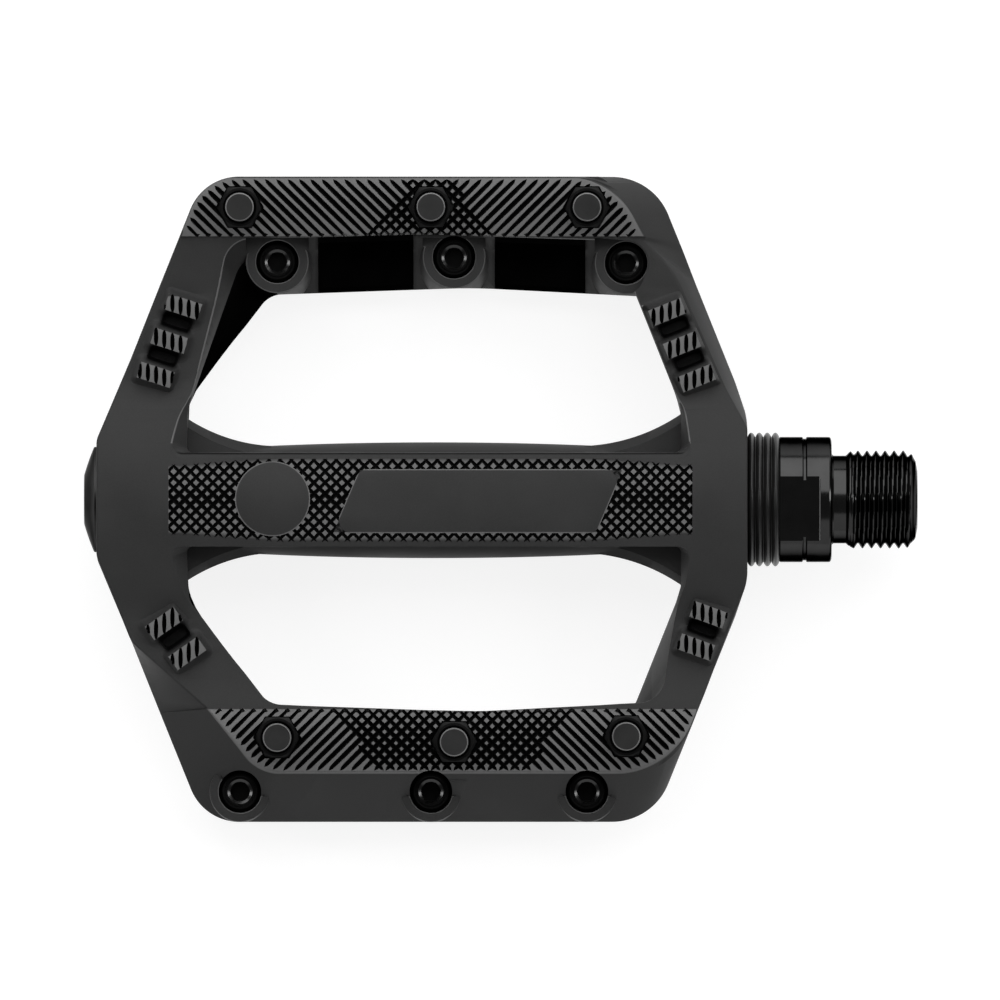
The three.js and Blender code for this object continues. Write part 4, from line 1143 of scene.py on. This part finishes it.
def seal_piece():
    start, face = INBOARD - 1.5, INBOARD + GAP
    end = COLLAR_START - GAP
    pitch = (end - face) / 4
    profile = [(start, 6.1), (start, 7.6), (face, 7.6), (face, 8.9)]
    for rib in range(4):
        foot = face + pitch * rib
        for i in range(13):
            t = i / 12
            profile.append((foot + pitch * (0.02 + 0.96 * t), 8.78 + 0.62 * math.sin(math.pi * t) ** 0.8))
    profile += [(end, 8.7), (end, 6.1), (start, 6.1)]
    return shade(object_of("seal_sleeve", revolve(profile, 128)), 40)


def cap_piece():
    flange = OUTBOARD - GAP
    groove = OUTBOARD + 0.4
    profile = [
        (CAP_FACE, 0), (CAP_FACE, 3.4), (CAP_FACE + 0.06, 3.65), (CAP_FACE + 0.35, 4.6),
        (CAP_FACE + 0.8, 5.9), (flange - 0.45, 7.25), (flange - 0.3, 7.4), (flange, 7.4), (flange, 6.9),
        (groove, 6.9), (groove, 5.9), (groove + 1.2, 5.9), (groove + 1.2, 6.9), (OUTBOARD + 2.2, 6.9),
        (OUTBOARD + 2.2, 0),
    ]
    made = object_of("end_cap", revolve(profile, 96))
    cut(made, axle_hex(CAP_FACE - 1, CAP_FACE + 1.3, 5))
    return shade(made, 30)


SOCKET_MOUTH = 1.75
SOCKET_FLOOR = 2.2


def pin_shell_object(name, x, y, up):
    floor = HEAD_SEAT - HEAD_HEIGHT
    profile = [
        (floor + 0.12, 0), (floor + 0.12, 2.05), (floor, 2.2), (floor, 2.45), (floor + 0.1, 2.62),
        (floor + 0.35, 2.75), (HEAD_SEAT - GAP, 2.75), (HEAD_SEAT - GAP, 2), (PIN_REACH - 0.16, 2),
        (PIN_REACH - 0.03, 1.9), (PIN_REACH, 1.84), (PIN_REACH, 0),
    ]
    profile = dense(profile, HEAD_SEAT - GAP, PIN_REACH - 0.25, 0.14)
    wave = helix(0.7, 0.26, HEAD_SEAT + 2, PIN_REACH - 0.35, 0.5, 1)
    made = object_of(name, post_like(profile, wave))
    cut(made, hex_prism(0, 0, floor - 1, floor + SOCKET_FLOOR, 2.5))
    mouth = revolve([(floor - 0.5, 0), (floor - 0.5, SOCKET_MOUTH + 0.6), (floor + 0.12, SOCKET_MOUTH),
                     (floor + 0.29, 1.38), (floor + 0.29, 0)], 48)
    cut(made, upright(mouth))
    for _ in range(4):
        made.data.materials.append(None)
    for face in made.data.polygons:
        radius, height = math.hypot(face.center.x, face.center.y), face.center.z
        if height > PIN_REACH - 0.17 and 1.83 < radius < 2:
            face.material_index = 3
        elif floor + 0.12 < height < floor + 0.29 and radius < SOCKET_MOUTH:
            face.material_index = 2
        elif height < HEAD_SEAT + 1:
            face.material_index = 1
    return place_pin(shade(made, 18), x, y, up)


def post_like(profile, wave=None):
    return upright(revolve(profile, 32, wave))


def place_pin(made, x, y, up):
    turn = Matrix.Identity(4) if up > 0 else Matrix.Rotation(math.pi, 4, "X")
    made.data.transform(Matrix.Translation((x, y, 0)) @ turn)
    return made


def nut_piece(name, x, y, up):
    high = NUT_LOW + NUT_THICKNESS
    made = object_of(name, hex_prism(0, 0, NUT_LOW, high, NUT_ACROSS))
    corner = NUT_ACROSS / 2 / math.cos(math.pi / 6)
    cone = upright(revolve([
        (NUT_LOW, 0), (NUT_LOW, NUT_ACROSS / 2 - 0.1), (NUT_LOW + 0.32, corner + 0.05),
        (high - 0.42, corner + 0.05), (high, NUT_ACROSS / 2 - 0.12), (high, 0)], 48))
    combine(made, object_of("cone", cone), "INTERSECT")
    hole = upright(revolve([
        (NUT_LOW - 1, 0), (NUT_LOW - 1, 2.15), (high - 0.2, 2.15), (high + 0.1, 2.45), (high + 1, 2.45),
        (high + 1, 0)], 48))
    cut(made, hole)
    return place_pin(shade(made, 18), x, y, up)


# ---- materials ----
def grey(value):
    """A display grey, 0 to 255, as linear light."""
    v = value / 255
    linear = v / 12.92 if v <= 0.04045 else ((v + 0.055) / 1.055) ** 2.4
    return (linear, linear, linear, 1)


class Nodes:
    """Short calls for building a material's nodes."""

    def __init__(self, name):
        self.material = bpy.data.materials.new(name)
        self.material.use_nodes = True
        self.tree = self.material.node_tree
        self.shader = self.tree.nodes["Principled BSDF"]

    def add(self, kind, **values):
        node = self.tree.nodes.new(kind)
        for key, value in values.items():
            setattr(node, key, value)
        return node

    def link(self, out, into):
        self.tree.links.new(out, into)

    def place(self):
        return self.add("ShaderNodeTexCoord").outputs["Object"]

    def noise(self, scale, detail=4, roughness=0.6, place=None):
        node = self.add("ShaderNodeTexNoise")
        node.inputs["Scale"].default_value = scale
        node.inputs["Detail"].default_value = detail
        node.inputs["Roughness"].default_value = roughness
        self.link(place or self.place(), node.inputs["Vector"])
        return node.outputs["Fac"]

    def ramp(self, factor, low, high, low_value, high_value):
        node = self.add("ShaderNodeMapRange")
        for key, value in zip(("From Min", "From Max", "To Min", "To Max"), (low, high, low_value, high_value)):
            node.inputs[key].default_value = value
        self.link(factor, node.inputs["Value"])
        return node.outputs["Result"]

    def sum(self, kind, a, b):
        node = self.add("ShaderNodeMath", operation=kind)
        for socket, value in zip(node.inputs, (a, b)):
            if isinstance(value, (int, float)):
                socket.default_value = value
            else:
                self.link(value, socket)
        return node.outputs[0]

    def mix(self, factor, one, two):
        node = self.add("ShaderNodeMix", data_type="RGBA")
        for key, value in zip((0, 6, 7), (factor, one, two)):
            if isinstance(value, (int, float, tuple)):
                node.inputs[key].default_value = value
            else:
                self.link(value, node.inputs[key])
        return node.outputs[2]

    def bump(self, height, strength, distance):
        node = self.add("ShaderNodeBump")
        node.inputs["Strength"].default_value = strength
        node.inputs["Distance"].default_value = distance
        self.link(height, node.inputs["Height"])
        self.link(node.outputs["Normal"], self.shader.inputs["Normal"])


BODY_DARK, BODY_LIGHT, BODY_GRAIN = 46, 52, 60


def nylon_material():
    """Moulded black nylon: fine spark-eroded grain and slow mottling. Crests are painted paler as a painted
    highlight, and grooves, pockets, troughs and the window's inboard wall are painted near black as painted shade."""
    n = Nodes("moulded_nylon")
    place = n.place()
    slow = n.noise(90, 3, 0.55, place)
    fine = n.noise(5200, 3, 0.7, place)
    base = n.mix(n.ramp(slow, 0.3, 0.7, 0, 1), grey(BODY_DARK), grey(BODY_LIGHT))
    base = n.mix(n.ramp(fine, 0.35, 0.7, 0, 0.3), base, grey(BODY_GRAIN))

    split = n.add("ShaderNodeSeparateXYZ")
    n.link(place, split.inputs[0])
    height = n.sum("ABSOLUTE", split.outputs["Z"], 0.0)
    normal = n.add("ShaderNodeSeparateXYZ")
    geometry = n.add("ShaderNodeNewGeometry")
    n.link(geometry.outputs["True Normal"], normal.inputs[0])
    # On the lower face y runs the other way, so both pads are told apart by y times the side of z
    side = n.sum("SIGN", split.outputs["Z"], 0.0)
    y = n.sum("MULTIPLY", split.outputs["Y"], side)
    inward = n.sum("MULTIPLY", normal.outputs["Y"], n.sum("SIGN", split.outputs["Y"], 0.0))
    level = n.ramp(n.sum("ABSOLUTE", normal.outputs["Z"], 0.0), 0.7, 0.85, 0, 1)

    def band(value, low, high, soft):
        rises = n.ramp(value, low - soft, low + soft, 0, 1)
        return n.sum("MULTIPLY", rises, n.ramp(value, high - soft, high + soft, 1, 0))

    # Masks for the painted shade in the grooves and the painted highlight on the crests of pads, blocks and
    # crosshatch
    pads = n.sum("ADD", band(y, 0.0369, 0.0451, 0.00005), band(y, -0.0385, -0.0294, 0.00005))
    pads = n.sum("MULTIPLY", pads, n.ramp(height, 0.0069, 0.0070, 0, 1))
    beam = n.sum("MULTIPLY", band(y, -0.0066, 0.0066, 0.0002), band(split.outputs["X"], -0.0466, 0.0269, 0.00005))
    beam = n.sum("MULTIPLY", beam, n.ramp(height, 0.0085, 0.0086, 0, 1))
    along = n.ramp(split.outputs["X"], length_at(WINDOW_ENDS[0]) * MILLIMETRE,
                   length_at(WINDOW_ENDS[1]) * MILLIMETRE, 0, 1)
    swell = n.sum("MULTIPLY", n.sum("MULTIPLY", along, n.sum("SUBTRACT", 1.0, along)), 6.4)
    half = n.sum("ADD", n.sum("MULTIPLY", n.sum("MINIMUM", swell, 1.0), HATCH_WIDENING * MILLIMETRE),
                 HATCH_NARROW * MILLIMETRE)
    within = n.sum("SUBTRACT", half, n.sum("ABSOLUTE", y, 0.0))
    crowns = n.sum("MULTIPLY", beam, n.ramp(within, 0.0002, 0.0009, 0, 1))
    for outline in (disc_mask(n, split.outputs["X"], y), bar_mask(n, split.outputs["X"], y)):
        beam = n.sum("MULTIPLY", beam, outline)
        crowns = n.sum("MULTIPLY", crowns, outline)
    away = n.sum("ABSOLUTE", y, 0.0)
    arms = n.sum("MULTIPLY", n.ramp(height, 0.0067, 0.0068, 0, 1), band(away, 0.0135, 0.0285, 0.00005))
    upright = n.ramp(n.sum("ABSOLUTE", normal.outputs["Z"], 0.0), 0.42, 0.48, 1, 0)
    grooved = n.sum("ADD", n.sum("MULTIPLY", pads, upright), beam)
    tops = n.sum("MULTIPLY", arms, n.ramp(height, 0.00744, 0.00748, 0, 1))
    crest = n.sum("MULTIPLY", n.sum("MINIMUM", n.sum("ADD", pads, tops), 1.0), level)
    shut = n.sum("SUBTRACT", 1.0, level)
    groove = n.sum("MULTIPLY", n.sum("MINIMUM", grooved, 1.0), shut)
    colour = n.mix(groove, base, grey(9))
    colour = n.mix(crest, colour, grey(102))
    colour = n.mix(n.sum("MULTIPLY", crowns, level), colour, grey(104))
    # Painted shade: the deep pockets and the troughs between blocks are painted near black
    pocket = n.sum("MULTIPLY", pocket_mask(n, split), n.ramp(inward, 0.1, 0.25, 1, 0))
    own_side = n.sum("MULTIPLY", normal.outputs["Z"], n.sum("SIGN", split.outputs["Y"], 0.0))
    pocket = n.sum("MULTIPLY", pocket, n.ramp(own_side, -0.1, -0.02, 0, 1))
    trough = n.sum("MULTIPLY", trough_shade_mask(n, split.outputs["X"], y), n.ramp(height, 0.0072, 0.0074, 1, 0))
    dark = n.sum("MAXIMUM", pocket, trough)
    # Painted shade on the window's inboard wall, which faces away from the light
    wall = n.sum("MULTIPLY", n.ramp(normal.outputs["X"], -0.55, -0.35, 0.65, 0), band(split.outputs["X"], 0.0137, 0.0212, 0.0001))
    wall = n.sum("MULTIPLY", wall, band(away, 0.0105, 0.0288, 0.0008))
    dark = n.sum("MAXIMUM", dark, wall)
    n.link(n.mix(dark, colour, grey(5)), n.shader.inputs["Base Color"])
    n.link(n.ramp(slow, 0.3, 0.7, 0.5, 0.62), n.shader.inputs["Roughness"])
    n.bump(fine, 0.25, 0.00004)
    n.shader.inputs["Specular IOR Level"].default_value = 0.12
    return n.material


def trough_shade_mask(n, x, y):
    """1 in the troughs between blocks, where they are painted shade, soft at their ends and on the lower side."""
    inside = None
    for group in block_frames():
        for one, two in zip(group, group[1:]):
            along, across = one[1:]
            middle, half_long, half_wide = scoop_size(one, two)
            area = (along.x * across.y - along.y * across.x) * MILLIMETRE
            dx, dy = n.sum("SUBTRACT", x, middle.x * MILLIMETRE), n.sum("SUBTRACT", y, middle.y * MILLIMETRE)
            u = n.sum("SUBTRACT", n.sum("MULTIPLY", dx, across.y / area), n.sum("MULTIPLY", dy, across.x / area))
            v = n.sum("SUBTRACT", n.sum("MULTIPLY", dy, along.x / area), n.sum("MULTIPLY", dx, along.y / area))
            ends = n.ramp(n.sum("ABSOLUTE", u, 0.0), half_long - 0.55, half_long + 0.15, 1, 0)
            sides = n.sum("MULTIPLY", n.ramp(v, -half_wide - 0.6, -half_wide - 0.45, 0, 1),
                          n.ramp(v, half_wide - 0.35, half_wide + 0.3, 1, 0))
            part = n.sum("MULTIPLY", ends, sides)
            inside = part if inside is None else n.sum("MAXIMUM", inside, part)
    return inside


def pocket_mask(n, split):
    """1 in the deep pockets and on the window walls under the pads, where next to no light gets in."""
    side = n.sum("SIGN", split.outputs["Y"], 0.0)
    depth = n.sum("MULTIPLY", split.outputs["Z"], side)
    away = n.sum("ABSOLUTE", split.outputs["Y"], 0.0)
    x = split.outputs["X"]
    under_pad = n.sum("MULTIPLY", n.ramp(away, UNDER_PAD[0] * MILLIMETRE, 0.0352, 0, 1), n.ramp(depth, 0.0066, 0.0069, 1, 0))
    under_pad = n.sum("MULTIPLY", under_pad, n.ramp(x, UNDER_PAD[1] * MILLIMETRE, -0.0306, 0, 1))
    shade = n.sum("MAXIMUM", n.ramp(depth, 0.0019, 0.0031, 1, 0), under_pad)
    inside = n.sum("MULTIPLY", n.ramp(depth, -0.0064, -0.0061, 0, 1), shade)
    inside = n.sum("MULTIPLY", inside, n.ramp(away, 0.0085, 0.0100, 0, 1))
    inside = n.sum("MULTIPLY", inside, n.ramp(away, 0.0428, 0.0430, 1, 0))
    # The outboard arm's inner border slants
    border = n.sum("SUBTRACT", x, n.sum("MULTIPLY", n.sum("SUBTRACT", away, 0.014), 0.393))
    inside = n.sum("MULTIPLY", inside, n.ramp(border, -0.0438, -0.0436, 0, 1))
    inside = n.sum("MULTIPLY", inside, n.ramp(x, 0.0206, 0.0208, 1, 0))
    for index, (share, across) in enumerate(INNER_PINS):
        dx = n.sum("SUBTRACT", x, length_at(share) * MILLIMETRE)
        dy = n.sum("SUBTRACT", away, across * HALF_WIDTH * MILLIMETRE)
        gap = n.sum("SQRT", n.sum("ADD", n.sum("MULTIPLY", dx, dx), n.sum("MULTIPLY", dy, dy)), 0.0)
        clear = n.ramp(n.sum("ABSOLUTE", dx, 0.0), 0.0052, BOSS_SIDE * MILLIMETRE, 0, 1)
        if index == 0:
            clear = n.sum("MAXIMUM", clear, n.sum("MULTIPLY", n.ramp(dx, -0.002, 0.0, 1, 0), n.ramp(gap, 0.00445, 0.0046, 0, 1)))
        inside = n.sum("MULTIPLY", inside, clear)
    return inside


def disc_mask(n, x, y):
    dx = n.sum("SUBTRACT", x, DISC_CENTRE[0] * MILLIMETRE)
    dy = n.sum("SUBTRACT", y, DISC_CENTRE[1] * MILLIMETRE)
    away = n.sum("SQRT", n.sum("ADD", n.sum("MULTIPLY", dx, dx), n.sum("MULTIPLY", dy, dy)), 0.0)
    radius = DISC_RADIUS * MILLIMETRE
    return n.ramp(away, radius - 0.00018, radius - 0.00008, 0, 1)


def bar_mask(n, x, y):
    """0 inside the plain bar and 1 outside it."""
    (x0, y0), (x1, _), (_, y2), (x3, _) = BAR_CORNERS
    lean = (x3 - x0) / (y2 - y0)
    straight = n.sum("SUBTRACT", x, n.sum("MULTIPLY", n.sum("SUBTRACT", y, y0 * MILLIMETRE), lean))
    soft, inset = 0.00005, 0.00013
    inside = 1.0
    for value, low, high in ((straight, x0, x1), (y, y0, y2)):
        low, high = low * MILLIMETRE + inset, high * MILLIMETRE - inset
        part = n.sum("MULTIPLY", n.ramp(value, low - soft, low + soft, 0, 1), n.ramp(value, high - soft, high + soft, 1, 0))
        inside = part if inside == 1.0 else n.sum("MULTIPLY", inside, part)
    return n.sum("SUBTRACT", 1.0, inside)


def steel_material(name, low, high, roughness, metallic, bump=0.02, specular=0.5, edge=1.0):
    n = Nodes(name)
    place = n.place()
    slow = n.noise(260, 4, 0.6, place)
    fine = n.noise(7000, 2, 0.6, place)
    n.link(n.mix(n.ramp(slow, 0.3, 0.7, 0, 1), grey(low), grey(high)), n.shader.inputs["Base Color"])
    n.link(n.ramp(slow, 0.3, 0.7, roughness * 0.85, roughness * 1.15), n.shader.inputs["Roughness"])
    n.shader.inputs["Metallic"].default_value = metallic
    n.shader.inputs["Specular IOR Level"].default_value = specular
    n.shader.inputs["Specular Tint"].default_value = (edge, edge, edge, 1)
    n.bump(fine, bump, 0.00002)
    return n.material


# ---- assemble ----
def finish_piece(made, materials, body, slot, *nodes):
    made.data.transform(Matrix.Scale(MILLIMETRE, 4))
    indices = [face.material_index for face in made.data.polygons]
    made.data.materials.clear()
    for material in materials:
        made.data.materials.append(material)
    made.data.polygons.foreach_set("material_index", indices)
    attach(made, body)
    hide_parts(*nodes)
    return made


nylon = nylon_material()
# Painted highlight: pale grey for the narrow edges of the windows, counterbores and inner bosses
edge_highlight_nylon = steel_material("edge_highlight_nylon", 84, 98, 0.5, 0.0, 0.1)
# Painted shade: near black for the block slits, pockets and window walls
painted_shade_nylon = steel_material("painted_shade_nylon", 5, 8, 0.9, 0.0, 0.05, 0.0)
black_steel = steel_material("black_steel", 54, 60, 0.16, 1.0, 0.03, edge=0.15)
cap_black = steel_material("cap_black", 56, 64, 0.35, 1.0, 0.05, edge=0.35)
nut_steel = steel_material("nut_steel", 7, 11, 0.4, 0.0, 0.05, 0.15)
pin_steel = steel_material("pin_steel", 32, 38, 0.45, 0.0, 0.08, 0.25)
pin_head = steel_material("pin_head", 4, 7, 0.4, 0.0, 0.05, 0.1)
socket_rim = steel_material("socket_rim", 58, 66, 0.2, 1.0, 0.02)
tip_edge = steel_material("tip_edge", 96, 112, 0.45, 0.0, 0.03)
rubber = steel_material("rubber", 20, 26, 0.32, 0.0, 0.1, 0.3)
bright_steel = steel_material("bright_steel", 178, 196, 0.25, 1.0, 0.05)
brass = steel_material("brass", 120, 140, 0.4, 0.9, 0.05)

finish_piece(platform_body(), (nylon, edge_highlight_nylon, painted_shade_nylon), "platform", "nylon", "pedal_body")
finish_piece(spindle_piece(), (black_steel, tip_edge), "spindle", "black_steel", "spindle")
finish_piece(seal_piece(), (rubber,), "platform", "rubber", "spindle_seal")
finish_piece(cap_piece(), (cap_black,), "platform", "black_steel", "dust_cap")
for index, (pin_x, pin_y, pin_up) in enumerate(PINS, 1):
    pin = pin_shell_object(f"grip_pin_{index}", pin_x, pin_y, pin_up)
    finish_piece(pin, (pin_steel, pin_head, socket_rim, tip_edge), "platform", "pin_steel", f"traction_pin_{index}")
    nut = nut_piece(f"hex_nut_{index}", pin_x, pin_y, pin_up)
    finish_piece(nut, (nut_steel,), "platform", "black_steel", f"pin_nut_{index}")

CARRIED = {
    "bearing_inner_race": bright_steel, "bearing_outer_race": bright_steel, "thrust_washer": bright_steel,
    "bearing_shield_outboard": bright_steel, "bearing_shield_inboard": bright_steel, "lock_nut": black_steel,
    "bearing_cage": brass, "spindle_bush": brass, "dust_cap_ring": rubber,
    **{f"bearing_ball_{i}": bright_steel for i in range(1, 9)},
}
for node, material in CARRIED.items():
    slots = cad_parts[node].data.materials
    slots.clear()
    slots.append(material)


# ---- floor, light and camera ----
ROOM_LIGHT = 0.14
# Name, place, width, height and radiance. The key light fills 7 to 76 degrees of height on the +Y side.
LAMPS = [
    ("key", (0.05, 0.75, 0.66), 1.6, 1.37, 2.2),
    ("fill", (0, -0.85, 0.45), 1.6, 0.9, 0.7),
    ("left", (-0.75, 0.1, 0.65), 0.25, 0.25, 6),
    ("right", (0.75, 0.1, 0.65), 0.25, 0.25, 7),
]


def studio():
    size = 4
    floor_mesh = bpy.data.meshes.new("floor")
    level = -PIN_REACH * MILLIMETRE - 0.0002
    floor_mesh.from_pydata([(-size, -size, level), (size, -size, level), (size, size, level), (-size, size, level)],
                           [], [(0, 1, 2, 3)])
    floor = bpy.data.objects.new("floor", floor_mesh)
    bpy.context.scene.collection.objects.link(floor)
    n = Nodes("pale_floor")
    n.shader.inputs["Base Color"].default_value = (0.25, 0.25, 0.25, 1)
    n.shader.inputs["Roughness"].default_value = 0.9
    path = n.add("ShaderNodeLightPath")
    seen = n.sum("MAXIMUM", path.outputs["Is Camera Ray"], path.outputs["Is Glossy Ray"])
    seen = n.sum("MAXIMUM", seen, path.outputs["Is Transmission Ray"])
    n.shader.inputs["Emission Color"].default_value = (1, 1, 1, 1)
    n.link(n.sum("MULTIPLY", seen, 0.85), n.shader.inputs["Emission Strength"])
    floor_mesh.materials.append(n.material)

    # A dim room above a pale horizon
    world = bpy.data.worlds.new("studio")
    bpy.context.scene.world = world
    world.use_nodes = True
    tree = world.node_tree
    back = tree.nodes["Background"]
    place = tree.nodes.new("ShaderNodeTexCoord")
    apart = tree.nodes.new("ShaderNodeSeparateXYZ")
    tree.links.new(place.outputs["Generated"], apart.inputs[0])
    rise = tree.nodes.new("ShaderNodeMapRange")
    for key, value in (("From Min", 0.02), ("From Max", 0.04), ("To Min", 1.0), ("To Max", ROOM_LIGHT)):
        rise.inputs[key].default_value = value
    tree.links.new(apart.outputs["Z"], rise.inputs["Value"])
    tree.links.new(rise.outputs["Result"], back.inputs["Strength"])
    back.inputs["Color"].default_value = (1, 1, 1, 1)

    for name, place, width, height, radiance in LAMPS:
        light = bpy.data.lights.new(name, "AREA")
        light.shape = "RECTANGLE"
        light.size, light.size_y, light.energy = width, height, radiance * math.pi * width * height
        lamp = bpy.data.objects.new(name, light)
        bpy.context.scene.collection.objects.link(lamp)
        lamp.location = place
        lamp.rotation_euler = (-Vector(place)).to_track_quat("-Z", "Y").to_euler()
        lamp.visible_camera = False

    camera_data = bpy.data.cameras.new("camera")
    camera_data.lens, camera_data.sensor_width = 1400, 36
    frame_width = 140.45 * MILLIMETRE
    camera = bpy.data.objects.new("camera", camera_data)
    bpy.context.scene.collection.objects.link(camera)
    distance = camera_data.lens / camera_data.sensor_width * frame_width
    camera.location = (-0.105 * MILLIMETRE, -0.07 * MILLIMETRE, distance)
    camera_data.clip_start, camera_data.clip_end = 0.05, 50
    bpy.context.scene.camera = camera
    bpy.context.scene.view_settings.view_transform = "Standard"


studio()
